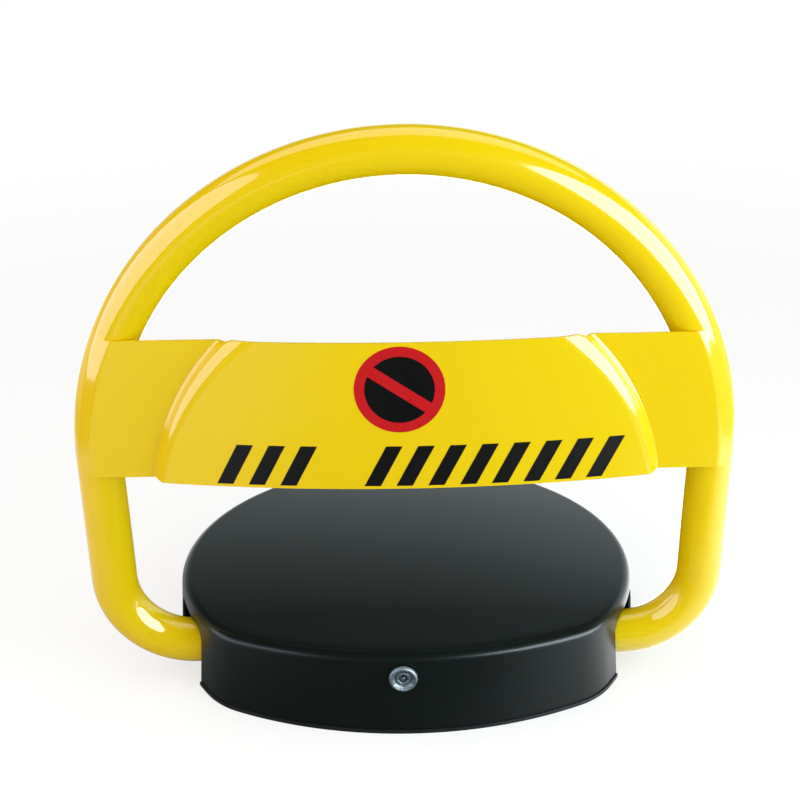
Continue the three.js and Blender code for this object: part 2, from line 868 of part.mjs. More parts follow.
function wormWheel() {
  const gapAtBottom = -Math.PI / 2 + Math.PI / wheelTeeth;
  const outline = gearOutline(0, 0, wheelTeeth, wormModule, wheelBacklash, gapAtBottom);
  outline.holes.push(disc(0, 0, outputRadius + fitGap));
  const geometry = new THREE.ExtrudeGeometry(outline, {
    depth: wheelWidth,
    bevelEnabled: false,
    steps: 2,
    curveSegments: mediumCurve,
  });
  geometry.translate(0, 0, -wheelWidth / 2);
  const leadSlope = wormLead / (2 * Math.PI * wormPitchRadius);
  const places = geometry.attributes.position;
  for (let i = 0; i < places.count; i += 1) {
    const turn = (leadSlope * places.getZ(i)) / wheelPitchRadius;
    const spot = new THREE.Vector2(places.getX(i), places.getY(i)).rotateAround(
      new THREE.Vector2(),
      turn,
    );
    places.setXY(i, spot.x, spot.y);
  }
  const [first, second, third] = prismBases.x.map((v) => new THREE.Vector3(...v));
  geometry.applyMatrix4(new THREE.Matrix4().makeBasis(first, second, third));
  geometry.translate(0, outputY, outputZ);
  return solidOf(geometry);
}
add("worm_wheel", wormWheel(), bronze);

// A thread of four-sided section that winds along the worm
function wormThread() {
  const turns = Math.floor(wormLength / wormLead) - 1;
  const halfAtRoot = wormLead / 4 + wormThreadBacklash / 2;
  const halfAtTip = wormLead / 4 - wormThreadBacklash;
  const sunk = wormRootRadius - runGap;
  const section = [
    [sunk, -halfAtRoot],
    [wormTipRadius, -halfAtTip],
    [wormTipRadius, halfAtTip],
    [sunk, halfAtRoot],
  ];
  const steps = threadStepsPerTurn * turns;
  const positions = [];
  for (let i = 0; i <= steps; i += 1) {
    const angle = (2 * Math.PI * (i - steps / 2)) / threadStepsPerTurn;
    const middle = outputY + (wormLead * angle) / (2 * Math.PI);
    for (const [radius, along] of section) {
      positions.push(radius * Math.sin(angle), middle + along, wormZ + radius * Math.cos(angle));
    }
  }
  const faces = [0, 1, 2, 0, 2, 3];
  const end = steps * 4;
  faces.push(end, end + 2, end + 1, end, end + 3, end + 2);
  for (let i = 0; i < steps; i += 1) {
    for (let side = 0; side < 4; side += 1) {
      const a = i * 4 + side;
      const b = i * 4 + ((side + 1) % 4);
      faces.push(a, a + 4, b + 4, a, b + 4, b);
    }
  }
  const geometry = new THREE.BufferGeometry();
  geometry.setAttribute("position", new THREE.Float32BufferAttribute(positions, 3));
  geometry.setIndex(faces);
  return solidOf(geometry);
}

const housingFrontY = outputY - wheelTipRadius - housingInnerGap - housingWall;
const housingBackY = outputY + wheelTipRadius + housingInnerGap + housingWall;
const wormShaftRadius = wormShaftDiameter / 2;
const motorFrontY = housingBackY + fitGap;
const motorBackY = motorFrontY + motorLength;

function worm() {
  const body = rod("y", wormZ, 0, wormRootRadius, outputY - wormLength / 2, outputY + wormLength / 2);
  const shaftFrontY = housingFrontY + housingWall / 2;
  const shaft = rod("y", wormZ, 0, wormShaftRadius, shaftFrontY, motorBackY, smallCurve);
  return joined(body, shaft, wormThread());
}
add("worm", worm(), steel);

function gearboxHousing() {
  const cavityHalfY = wheelTipRadius + housingInnerGap;
  const body = block(
    [-housingHalf, housingHalf],
    [housingFrontY, housingBackY],
    [baseThickness, housingTopZ],
  );
  const cavity = block(
    [-housingInnerHalf - fitGap, housingInnerHalf + fitGap],
    [outputY - cavityHalfY, outputY + cavityHalfY],
    [wormZ - wormTipRadius - housingInnerGap, housingTopZ + cutOver],
  );
  const wormBore = rod(
    "y",
    wormZ,
    0,
    wormTipRadius + housingInnerGap,
    outputY - cavityHalfY,
    outputY + cavityHalfY,
  );
  const outputBore = rod(
    "x",
    outputY,
    outputZ,
    outputRadius + fitGap,
    -housingHalf - cutOver,
    housingHalf + cutOver,
  );
  const wormShaftBore = rod(
    "y",
    wormZ,
    0,
    wormShaftRadius + fitGap,
    housingFrontY + fitGap,
    housingBackY + cutOver,
    smallCurve,
  );
  return cut(body, cavity, wormBore, outputBore, wormShaftBore, ...lidBoltHoles());
}

const lidBoltX = (housingInnerHalf + fitGap + housingHalf) / 2;

function lidBoltPlaces() {
  const places = [];
  for (const side of [-1, 1]) {
    for (const back of [-1, 1]) {
      places.push([side * lidBoltX, outputY + (back * lidBoltSpacingY) / 2]);
    }
  }
  return places;
}

function lidBoltHoles() {
  const top = housingTopZ + housingLidThickness + cutOver;
  const bottom = housingTopZ + housingLidThickness - lidBoltLength - runGap;
  const radius = lidBoltDiameter / 2 + fitGap;
  return lidBoltPlaces().map(([x, y]) => rod("z", x, y, radius, bottom, top, smallCurve));
}

function gearboxLid() {
  const top = housingTopZ + housingLidThickness;
  const plate = block([-housingHalf, housingHalf], [housingFrontY, housingBackY], [housingTopZ, top]);
  return cut(plate, ...lidBoltHoles());
}
add("gearbox_housing", gearboxHousing(), castAlloy);
add("gearbox_lid", gearboxLid(), castAlloy);

lidBoltPlaces().forEach(([x, y], i) => {
  const seat = housingTopZ + housingLidThickness;
  const shank = rod("z", x, y, lidBoltDiameter / 2, seat - lidBoltLength, seat, smallCurve);
  const head = rod("z", x, y, lidBoltHeadDiameter / 2, seat, seat + lidBoltHeadHeight, smallCurve);
  add(`gearbox_screw_${i + 1}`, joined(shank, head), steel);
});

// Motor behind the gearbox, with its armature on the worm's shaft
function motorCan() {
  const can = rod("y", wormZ, 0, motorRadius, motorFrontY, motorBackY, wideCurve);
  const hollow = rod(
    "y",
    wormZ,
    0,
    motorRadius - motorCanWall,
    motorFrontY + motorCanWall,
    motorBackY + cutOver,
    wideCurve,
  );
  const bore = rod("y", wormZ, 0, wormShaftRadius + fitGap, motorFrontY - cutOver, motorBackY, smallCurve);
  return cut(can, hollow, bore);
}

function motorEndCap() {
  const cap = rod("y", wormZ, 0, motorRadius, motorBackY, motorBackY + motorCapLength, wideCurve);
  const bore = rod(
    "y",
    wormZ,
    0,
    wormShaftRadius + fitGap,
    motorBackY - cutOver,
    motorBackY + motorCapLength / 2,
    smallCurve,
  );
  return cut(cap, bore);
}

function motorArmature() {
  const middle = (motorFrontY + motorBackY) / 2;
  const ends = [middle - armatureLength / 2, middle + armatureLength / 2];
  return ring("y", wormZ, 0, armatureDiameter / 2, wormShaftRadius + fitGap, ...ends);
}

const clampEndX = motorRadius + fitGap + clampThickness + clampFoot;

function motorClamp() {
  const inner = motorRadius + fitGap;
  const outer = inner + clampThickness;
  const middle = (motorFrontY + motorBackY) / 2;
  const from = middle - clampWidth / 2;
  const to = middle + clampWidth / 2;
  const strap = rod("y", wormZ, 0, outer, from, to, wideCurve);
  const legs = block([-outer, outer], [from, to], [baseThickness, wormZ]);
  const feet = block(
    [-outer - clampFoot, outer + clampFoot],
    [from, to],
    [baseThickness, baseThickness + clampThickness],
  );
  const bore = rod("y", wormZ, 0, inner, from - cutOver, to + cutOver, wideCurve);
  const below = block([-inner, inner], [from - cutOver, to + cutOver], [-cutOver, wormZ]);
  return cut(
    joined(strap, legs, feet),
    bore,
    below,
    block([-outer, outer], [from, to], [-cutOver, baseThickness]),
  );
}
add("motor_can", motorCan(), darkSteel);
add("motor_end_cap", motorEndCap(), blackPlastic);
add("motor_armature", motorArmature(), bronze);
add("motor_clamp", motorClamp(), steel);

// Collar with a lug that meets a rubber pad at each end of the fold
const stopToX = -(housingHalf + gearSideGap);
const stopFromX = stopToX - collarWidth;
const lugHalf = stopLugThickness / 2;
const raisedPadTopZ = pivotHeight - lugHalf - fitGap;
const stopFrontY = -(stopLugReach - runGap);
const stopFrontToY = -(stopCollarRadius + runGap);
const stopPostY = stopCollarRadius + runGap;
const foldedPadTopZ = pivotHeight + stopLugReach;

function stopCollar() {
  const collar = rod("x", 0, pivotHeight, stopCollarRadius, stopFromX, stopToX);
  const lug = block(
    [stopFromX, stopToX],
    [-stopLugReach, 0],
    [pivotHeight - lugHalf, pivotHeight + lugHalf],
  );
  const boreEnds = [stopFromX - cutOver, stopToX + cutOver];
  const bore = rod("x", 0, pivotHeight, shaftRadius + fitGap, ...boreEnds, wideCurve);
  return cut(joined(collar, lug), bore);
}

function stopBlock() {
  const floorTop = baseThickness + stopFloor;
  const front = block(
    [stopFromX, stopToX],
    [stopFrontY, stopFrontToY],
    [baseThickness, raisedPadTopZ - stopPadThickness],
  );
  const floor = block(
    [stopFromX, stopToX],
    [stopFrontY, stopPostY + stopPostDepth],
    [baseThickness, floorTop],
  );
  const post = block(
    [stopFromX, stopToX],
    [stopPostY, stopPostY + stopPostDepth],
    [baseThickness, foldedPadTopZ],
  );
  return joined(front, floor, post);
}
add("stop_collar", stopCollar(), steel);
add("stop_block", stopBlock(), darkSteel);
add(
  "raised_stop_pad",
  block(
    [stopFromX, stopToX],
    [stopFrontY, stopFrontToY],
    [raisedPadTopZ - stopPadThickness, raisedPadTopZ],
  ),
  rubber,
);
add(
  "folded_stop_pad",
  block(
    [stopFromX, stopToX],
    [lugHalf + fitGap, stopPostY],
    [foldedPadTopZ - stopPadHeight, foldedPadTopZ],
  ),
  rubber,
);

// Magnet on a shaft collar, read by a sensor behind it when the arm is up
const magnetFromX = gearToX + gearSideGap;
const magnetToX = magnetFromX + magnetCollarWidth;
const magnetX = (magnetFromX + magnetToX) / 2;
const magnetOutY = magnetCollarRadius - fitGap;
const sensorFrontY = magnetCollarRadius + sensorGap;
const sensorBackY = sensorFrontY + sensorThickness;
const sensorTopZ = pivotHeight + sensorHeight / 2;

function magnetCollar() {
  const collar = ring(
    "x",
    0,
    pivotHeight,
    magnetCollarRadius,
    shaftRadius + fitGap,
    magnetFromX,
    magnetToX,
    wideCurve,
  );
  const pocketFrom = magnetOutY - magnetThickness - fitGap;
  const pocket = rod(
    "y",
    pivotHeight,
    magnetX,
    magnetDiameter / 2 + fitGap,
    pocketFrom,
    sensorFrontY,
    smallCurve,
  );
  return cut(collar, pocket);
}
add("magnet_collar", magnetCollar(), castAlloy);
add(
  "position_magnet",
  rod("y", pivotHeight, magnetX, magnetDiameter / 2, magnetOutY - magnetThickness, magnetOutY, smallCurve),
  chrome,
);

// The sensor's case stands on the base plate with its head at the magnet's height
function positionSensor() {
  const head = block(
    [magnetX - sensorWidth / 2, magnetX + sensorWidth / 2],
    [sensorFrontY, sensorBackY],
    [baseThickness, sensorTopZ],
  );
  const foot = block(
    [magnetX - sensorFootWidth / 2, magnetX + sensorFootWidth / 2],
    [sensorFrontY, sensorFrontY + sensorFootDepth],
    [baseThickness, baseThickness + sensorFootThickness],
  );
  return joined(head, foot);
}
add("position_sensor", positionSensor(), blackPlastic);

// Batteries: a tray with two cells on each side of the motor, the cells lying along Y
const cellRadius = cellDiameter / 2;
const cellPitch = cellDiameter + fitGap;
const trayFrontY = blockDepth / 2 + 2 * runGap;
const trayInnerX = clampEndX + traySideGap;
const trayOuterX = trayInnerX + 2 * trayWall + 2 * cellPitch + fitGap;
const trayBackY = trayFrontY + 2 * trayWall + trayContactSpace + cellLength + cellNubHeight;
const cellZ = baseThickness + trayWall + fitGap + cellRadius;
const trayTopZ = cellZ + cellRadius;

function batteryTray(side) {
  const body = block(
    span(side * trayInnerX, side * trayOuterX),
    [trayFrontY, trayBackY],
    [baseThickness, trayTopZ],
  );
  const hollow = block(
    span(side * (trayInnerX + trayWall), side * (trayOuterX - trayWall)),
    [trayFrontY + trayWall, trayBackY - trayWall],
    [baseThickness + trayWall, trayTopZ + cutOver],
  );
  return cut(body, hollow);
}
add("left_battery_tray", batteryTray(-1), blackPlastic);
add("right_battery_tray", batteryTray(1), blackPlastic);

function batteryCell(side, row) {
  const x = side * (trayInnerX + trayWall + fitGap + cellRadius + row * cellPitch);
  const frontY = trayFrontY + trayWall + trayContactSpace / 2;
  const backY = frontY + cellLength;
  const body = rod("y", cellZ, x, cellRadius, frontY, backY, wideCurve);
  const nub = rod("y", cellZ, x, cellNubDiameter / 2, backY, backY + cellNubHeight, smallCurve);
  return joined(body, nub);
}
add("battery_cell_1", batteryCell(-1, 0), cellJacket);
add("battery_cell_2", batteryCell(-1, 1), cellJacket);
add("battery_cell_3", batteryCell(1, 0), cellJacket);
add("battery_cell_4", batteryCell(1, 1), cellJacket);

// Control box behind the motor: receiver board, buzzer and antenna under a sealed lid
const motorEndY = motorBackY + motorCapLength;
const boxFrontY = motorEndY + boxMotorGap;
const boxBackY = boxFrontY + boxDepth;
const boxRightX = boxWidth / 2;
const boxLeftX = -boxRightX;
const boxTopZ = baseThickness + boxHeight;
const gasketTopZ = boxTopZ + gasketThickness;
const boxFloorZ = baseThickness + boxWall;
const boardBottomZ = boxFloorZ + boardStandHeight;
const boardTopZ = boardBottomZ + boardThickness;

function boardCorners() {
  const inset = boxWall + boardMargin + boardStandDiameter / 2;
  const xs = [boxLeftX + inset, boxRightX - inset];
  const ys = [boxFrontY + inset, boxBackY - inset];
  return xs.flatMap((x) => ys.map((y) => [x, y]));
}

function controlBox() {
  const body = block([boxLeftX, boxRightX], [boxFrontY, boxBackY], [baseThickness, boxTopZ]);
  const hollow = block(
    [boxLeftX + boxWall, boxRightX - boxWall],
    [boxFrontY + boxWall, boxBackY - boxWall],
    [boxFloorZ, boxTopZ + cutOver],
  );
  const stands = boardCorners().map(([x, y]) =>
    rod("z", x, y, boardStandDiameter / 2, baseThickness + boxWall / 2, boardBottomZ, smallCurve),
  );
  return joined(cut(body, hollow), ...stands);
}
add("control_box", controlBox(), blackPlastic);

function boxGasket() {
  const outline = rectangle(boxLeftX, boxRightX, boxFrontY, boxBackY);
  const hole = rectangle(
    boxLeftX + boxWall,
    boxRightX - boxWall,
    boxFrontY + boxWall,
    boxBackY - boxWall,
  );
  outline.holes.push(hole);
  return prism("z", outline, boxTopZ, gasketTopZ);
}
add("control_box_gasket", boxGasket(), rubber);
add(
  "control_box_lid",
  block([boxLeftX, boxRightX], [boxFrontY, boxBackY], [gasketTopZ, gasketTopZ + boxLidThickness]),
  blackPlastic,
);

const boardInset = boxWall + boardMargin;
const boardMiddleY = (boxFrontY + boxBackY) / 2;
add(
  "circuit_board",
  block(
    [boxLeftX + boardInset, boxRightX - boardInset],
    [boxFrontY + boardInset, boxBackY - boardInset],
    [boardBottomZ, boardTopZ],
  ),
  boardGreen,
);

const buzzerX = boxLeftX + boardInset + buzzerDiameter;

function buzzer() {
  const top = boardTopZ + buzzerHeight;
  const can = rod("z", buzzerX, boardMiddleY, buzzerDiameter / 2, boardTopZ, top, mediumCurve);
  const soundHole = rod(
    "z",
    buzzerX,
    boardMiddleY,
    buzzerHoleDiameter / 2,
    top - buzzerHeight / 2,
    top + cutOver,
    smallCurve,
  );
  return cut(can, soundHole);
}
add("buzzer", buzzer(), blackPlastic);
add(
  "antenna",
  rod(
    "x",
    boardMiddleY,
    boardTopZ + antennaDiameter / 2,
    antennaDiameter / 2,
    buzzerX + buzzerDiameter / 2 + antennaGap,
    boxRightX - boardInset - antennaGap,
    smallCurve,
  ),
  brass,
);

// Cover lock: a keyed cylinder in the front wall turns a cam under a catch on the base plate
const lockFaceBackY = coverFrontAt(lockZ - lockFaceDiameter / 2) - fitGap;
const lockFaceFrontY = lockFaceBackY - lockFaceThickness;
const nutReach = lockNutAcross / Math.sqrt(3);
const wallBow = baseFrontRadius - circleHalfWidth(baseFrontRadius, Math.abs(lockX) + nutReach);
const nutFrontY = coverFrontAt(lockZ + lockNutAcross / 2) + coverWall + wallBow + fitGap;
const barrelBackY = lockFaceBackY + lockBarrelLength;
const cylinderRadius = lockCylinderDiameter / 2;
const camFrontY = barrelBackY + fitGap;
const camBackY = camFrontY + camThickness;

function lockBody() {
  const face = rod("y", lockZ, lockX, lockFaceDiameter / 2, lockFaceFrontY, lockFaceBackY, faceCurve);
  const barrel = rod("y", lockZ, lockX, lockBarrelDiameter / 2, lockFaceBackY, barrelBackY, wideCurve);
  const bore = rod(
    "y",
    lockZ,
    lockX,
    cylinderRadius + fitGap,
    lockFaceFrontY - cutOver,
    barrelBackY + cutOver,
    usualCurve,
  );
  return cut(joined(face, barrel), bore);
}

// The nut has a flat on top, which keeps its corners clear of the cover's rim
function lockNut() {
  const outline = hexagon(lockZ, lockX, lockNutAcross, Math.PI / 6);
  outline.holes.push(disc(lockZ, lockX, lockBarrelDiameter / 2 + fitGap));
  return prism("y", outline, nutFrontY, nutFrontY + lockNutThickness);
}

function lockCylinder() {
  const plug = rod("y", lockZ, lockX, cylinderRadius, lockFaceFrontY + fitGap, barrelBackY, usualCurve);
  const slot = block(
    [lockX - keySlotWidth / 2, lockX + keySlotWidth / 2],
    [lockFaceFrontY, lockFaceFrontY + keySlotDepth],
    [lockZ - keySlotHeight / 2, lockZ + keySlotHeight / 2],
  );
  const thread = rod(
    "y",
    lockZ,
    lockX,
    camScrewDiameter / 2 + fitGap,
    barrelBackY - camScrewLength,
    camBackY,
    smallCurve,
  );
  return cut(plug, slot, thread);
}

function lockCam() {
  const half = camWidth / 2;
  const eye = rod("y", lockZ, lockX, half, camFrontY, camBackY, mediumCurve);
  const tongue = block([lockX, lockX + camLength], [camFrontY, camBackY], [lockZ - half, lockZ + half]);
  const hole = rod(
    "y",
    lockZ,
    lockX,
    camScrewDiameter / 2 + fitGap,
    camFrontY - cutOver,
    camBackY + cutOver,
    smallCurve,
  );
  return cut(joined(eye, tongue), hole);
}

function camScrew() {
  const headFrom = camBackY + fitGap;
  const shankFrom = headFrom - camScrewLength;
  const shank = rod("y", lockZ, lockX, camScrewDiameter / 2, shankFrom, headFrom, smallCurve);
  const head = rod(
    "y",
    lockZ,
    lockX,
    camScrewHeadDiameter / 2,
    headFrom,
    headFrom + camScrewHeadHeight,
    smallCurve,
  );
  return joined(shank, head);
}

function lockCatch() {
  const postX = lockX + Math.hypot(camLength, camWidth / 2) + runGap;
  const middleY = (camFrontY + camBackY) / 2;
  const depth = [middleY - catchDepth / 2, middleY + catchDepth / 2];
  const ledgeZ = lockZ + camWidth / 2 + runGap;
  const post = block([postX, postX + catchThickness], depth, [baseThickness, ledgeZ + catchThickness]);
  const ledge = block([postX - catchOverlap, postX], depth, [ledgeZ, ledgeZ + catchThickness]);
  const foot = block([postX, postX + catchFoot], depth, [baseThickness, baseThickness + catchThickness]);
  return joined(post, ledge, foot);
}
add("lock_body", lockBody(), chrome);
add("lock_nut", lockNut(), steel);
add("lock_cylinder", lockCylinder(), chrome);
add("lock_cam", lockCam(), steel);
add("cam_screw", camScrew(), steel);
add("lock_catch", lockCatch(), steel);

function rearHook() {
  const wallY = baseRearY - coverLip - coverLean - coverWall - runGap;
  const half = rearHookWidth / 2;
  const bow = baseRadius - circleHalfWidth(baseRadius, half);
  const back = wallY - bow;
  const upright = block([-half, half], [back - rearHookThickness, back], [baseThickness, rearHookHeight]);
  const foot = block(
    [-half, half],
    [back - rearHookFoot, back],
    [baseThickness, baseThickness + rearHookThickness],
  );
  return joined(upright, foot);
}
add("rear_hook", rearHook(), steel);

// Cables that run along the base plate, each from one unit to the control box
function cable(points) {
  const curve = new THREE.CatmullRomCurve3(points.map((p) => new THREE.Vector3(...p)));
  const steps = cableStations * (points.length - 1);
  const stations = [];
  for (let i = 0; i <= steps; i += 1) {
    stations.push({ point: curve.getPoint(i / steps), tangent: curve.getTangent(i / steps) });
  }
  return solidOf(tubeAlong(new StationPath(stations), cableDiameter / 2, 0, mediumCurve));
}

const cableLevelZ = baseThickness + boxHeight / 2;
const cableInFrontY = boxFrontY - fitGap;
const cableTurn = cableDiameter * 2;
add(
  "motor_cable",
  cable([
    [0, motorEndY + fitGap, wormZ],
    [0, cableInFrontY, wormZ],
  ]),
  redJacket,
);

// Each battery cable leaves its tray at the back and bends round to the side of the control box
function batteryCable(side) {
  const x = (trayInnerX + trayOuterX) / 2;
  return cable([
    [side * x, trayBackY + fitGap, cableLevelZ],
    [side * x, trayBackY + cableTurn, cableLevelZ],
    [side * x, boardMiddleY - cableTurn, cableLevelZ],
    [side * (x - cableTurn), boardMiddleY, cableLevelZ],
    [side * (boxRightX + fitGap), boardMiddleY, cableLevelZ],
  ]);
}
add("left_battery_cable", batteryCable(-1), redJacket);
add("right_battery_cable", batteryCable(1), redJacket);

// The sensor's cable runs between the motor and the right tray
const sensorCableX = (clampEndX + trayInnerX) / 2;
const sensorCableY = (sensorBackY + trayFrontY) / 2;
add(
  "sensor_cable",
  cable([
    [magnetX, sensorBackY + runGap, sensorCableZ],
    [magnetX, sensorCableY, sensorCableZ],
    [trayInnerX, sensorCableY, sensorCableZ],
    [sensorCableX, trayFrontY, sensorCableZ],
    [sensorCableX, trayFrontY + cableTurn, sensorCableZ],
    [sensorCableX, motorEndY, sensorCableZ],
    [sensorCableX, cableInFrontY, sensorCableZ],
  ]),
  greyPlastic,
);

export default lock;
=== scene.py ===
"""Looks of the folding parking lock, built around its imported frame.

The scene is in metres. Named sizes of the lock are in millimetres, and those of floor and lights in metres.
"""
import json
import math

import bmesh
import bpy
from mathutils import Matrix, Vector


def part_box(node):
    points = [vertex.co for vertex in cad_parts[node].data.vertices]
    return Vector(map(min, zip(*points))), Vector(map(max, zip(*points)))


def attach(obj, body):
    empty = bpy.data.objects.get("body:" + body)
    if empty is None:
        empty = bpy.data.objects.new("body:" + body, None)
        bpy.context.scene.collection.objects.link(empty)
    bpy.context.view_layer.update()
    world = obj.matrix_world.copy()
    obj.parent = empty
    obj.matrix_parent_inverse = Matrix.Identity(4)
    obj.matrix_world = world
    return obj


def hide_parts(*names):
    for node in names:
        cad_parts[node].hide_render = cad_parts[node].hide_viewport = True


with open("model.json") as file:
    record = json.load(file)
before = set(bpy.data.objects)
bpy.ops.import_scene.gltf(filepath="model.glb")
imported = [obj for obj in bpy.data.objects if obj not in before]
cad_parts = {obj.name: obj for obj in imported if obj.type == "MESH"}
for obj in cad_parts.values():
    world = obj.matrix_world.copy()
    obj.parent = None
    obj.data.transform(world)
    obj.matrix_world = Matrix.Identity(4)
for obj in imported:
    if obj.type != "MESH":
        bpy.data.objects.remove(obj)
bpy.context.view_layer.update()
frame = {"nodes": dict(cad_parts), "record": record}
nodes = frame["nodes"]
scene = bpy.context.scene
MM = 0.001


def put_in_scene(name, data):
    thing = bpy.data.objects.new(name, data)
    scene.collection.objects.link(thing)
    return thing


# Camera, at the angle of the photograph
VIEW_TARGET = Vector((0, 0, 198)) * MM
VIEW_DISTANCE = 966.24 * MM
VIEW_AZIMUTH = math.radians(-0.833)
VIEW_ELEVATION = math.radians(26.336)
VIEW_ROLL = math.radians(-0.638)
IMAGE_SIDE = 800
FOCAL_PIXELS = 1390.08
SHIFT_RIGHT = 6.07
SHIFT_DOWN = 31.56
SENSOR_WIDTH = 36


def add_camera():
    back = Vector((
        math.sin(VIEW_AZIMUTH) * math.cos(VIEW_ELEVATION),
        -math.cos(VIEW_AZIMUTH) * math.cos(VIEW_ELEVATION),
        math.sin(VIEW_ELEVATION),
    ))
    level = Vector((math.cos(VIEW_AZIMUTH), math.sin(VIEW_AZIMUTH), 0))
    upright = level.cross(-back)
    right = math.cos(VIEW_ROLL) * level + math.sin(VIEW_ROLL) * upright
    up = -math.sin(VIEW_ROLL) * level + math.cos(VIEW_ROLL) * upright
    data = bpy.data.cameras.new("camera")
    data.sensor_width = SENSOR_WIDTH
    data.lens = FOCAL_PIXELS * SENSOR_WIDTH / IMAGE_SIDE
    data.shift_x = -SHIFT_RIGHT / IMAGE_SIDE
    data.shift_y = SHIFT_DOWN / IMAGE_SIDE
    camera = put_in_scene("camera", data)
    turn = Matrix((right, up, back)).transposed().to_4x4()
    camera.matrix_world = Matrix.Translation(VIEW_TARGET + back * VIEW_DISTANCE) @ turn
    scene.camera = camera


add_camera()

# Arm
TUBE_RADIUS = 16.25
TUBE_WALL = 2
BEND_RADIUS = 55.5
RING_RISE = 155
RING_RADIUS = 213.75
STUB_LENGTH = 45
ARM_BOLT_INSET = 17
ARM_BOLT_HOLE = 4.3
PIVOT_Z = 28
BEND_X = RING_RADIUS - BEND_RADIUS
RING_Z = PIVOT_Z + RING_RISE
TUBE_END_X = BEND_X - STUB_LENGTH
TUBE_SIDES = 64
STUB_STEPS = 8
BEND_STEPS = 28
LEG_STEPS = 12
RING_STEPS = 132

# Sign plate, heights above the pivot axis
PLATE_THICKNESS = 2
PLATE_GAP = 0.3
PLATE_BOTTOM = 147.8
PLATE_HEIGHT = 100.8
PLATE_FRONT = TUBE_RADIUS + PLATE_GAP + PLATE_THICKNESS
BUMP_CENTRE = 125.5
BUMP_FOOT = 175.5
BUMP_WALL = 6
BUMP_SHOULDER = (3, 14)
BUMP_SHOULDER_DROP = (1, 3.4)
BUMP_DEPTH = (23.5, 17.6)
BUMP_SIDE_FALL = 15.8
BUMP_TOP_RISE = 2.9
WELD_REACH = 9
PLATE_EDGE_ROUND = 0.6
PLATE_ROWS = 60
CROWN_COLUMNS, SHOULDER_COLUMNS, WALL_COLUMNS, FOOT_COLUMNS = 24, 12, 26, 2
FLAT_COLUMNS, EDGE_COLUMNS = 7, 14
FOOT_STRIP = 1
MOST_THICKENING = 1.8
SLOPE_REACH = 0.5

# Marks on the plate
DISC_X = -4.5
DISC_Z = 247.2
DISC_RADIUS = 30.1
DISC_RIM = 23.2
DISC_BAR = 3.9
DISC_BAR_TURN = math.radians(-34)
FILM_PROUD = 0.12
BAR_BOTTOM = 178
BAR_TOP = 207
BAR_WIDTH = 11
BAR_PITCH = 21.5
BAR_SLANT = 15
BAR_GROUPS = ((-129, 3), (-29, 8))
DISC_STEPS = 96
DISC_RINGS = 18
BAR_ROWS = 8
BAR_COLUMNS = 6

# Base and cover
BASE_RADIUS = 179
BASE_FRONT_Y = -81
BASE_FRONT_CUT = 29
BASE_FRONT_RADIUS = 283
BASE_CORNER = 60
BASE_NOTCH_X = 150
BASE_NOTCH_CORNER = 6
BASE_THICKNESS = 3
BASE_CENTRE_Y = BASE_FRONT_Y - BASE_FRONT_CUT + BASE_RADIUS
BASE_REAR_Y = BASE_CENTRE_Y + BASE_RADIUS
BASE_EDGE_ROUND = 0.4
REAR_STEPS = 176
FRONT_STEPS = 48
CORNER_STEPS = 20
PAST_SIDE = 200
BASE_CUT = (-5, 8)
ANCHOR_HOLE = 6
ANCHORS = ((-110, -38), (110, -38), (-60, 203), (60, 203))
COVER_WALL = 1.6
COVER_LIP = 1
COVER_LEAN = 3.5
COVER_RIM = 7.5
COVER_TOP = 64.5
COVER_LEVEL_Y = -20
COVER_REAR_DROP = 18
COVER_SIDE_DROP = 6
COVER_FALL_POWER = 1.5
NOTCH_FRONT = -19
NOTCH_BACK = 34
NOTCH_TOP = PIVOT_Z + 20
NOTCH_CORNER = 11
COVER_WALL_STEPS = 6
COVER_RIM_STEPS = 9
COVER_RINGS = 26

# Cover lock. The profiles are pairs of a radius and a depth behind the front face.
LOCK_X = -5
LOCK_Z = 46
LOCK_RIM_LAP = 1.7
LOCK_HOLE_CUT = (-5, 16)
LOCK_RING_STEPS = 144
LOCK_RING_BORE = 5.8
LOCK_NECK = 8
LOCK_RING_PROFILE = (
    (LOCK_RING_BORE, 1.9), (6.1, 1.7), (6.6, 0.9), (7.1, 0.6), (7.8, 0.35), (8.1, 0.1), (8.5, 0),
    (9.0, 0.1), (9.55, 0.5), (9.85, 1.1), (10, 1.8), (10, 3), (LOCK_NECK, 3),
)
FLUTES = 12
FLUTE_HEIGHT = 0.12
FLUTE_INNER = (5.9, 7.1)
FLUTE_OUTER = (8.3, 7.4)
LOCK_PLUG_STEPS = 72
LOCK_PLUG_RADIUS = 5.5
LOCK_AXIS_GAP = 0.01
LOCK_PLUG_PROFILE = (
    (LOCK_AXIS_GAP, 1.5), (1.1, 1.5), (1.35, 1.75), (1.4, 5), (2.9, 5), (2.95, 1.6), (3.2, 1.3),
    (4.6, 0.9), (5.2, 1.0), (LOCK_PLUG_RADIUS, 1.4),
)
LOCK_SLOT_HALF_WIDTH = 0.8
LOCK_SLOT_RISE = (1.5, 4.1)
LOCK_SLOT_CORNER = 0.3
LOCK_SLOT_CORNER_STEPS = 4
LOCK_SLOT_CUT = (-1, 4.5)

# Meshes, angles in degrees
SMOOTH_ANGLE = 38
PLATE_SMOOTH_ANGLE = 50
LOCK_SMOOTH_ANGLE = 30
EDGE_ANGLE = 60
EDGE_STEPS = 3
HOLE_STEPS = 48
ROUNDED_CORNER_STEPS = 12

# Where the gold end of the battery cells' sleeves begins
CELL_COLLAR_Y = 74

# Sockets of the Mix node when it mixes colours
MIX_FIRST, MIX_SECOND, MIX_RESULT = 6, 7, 2


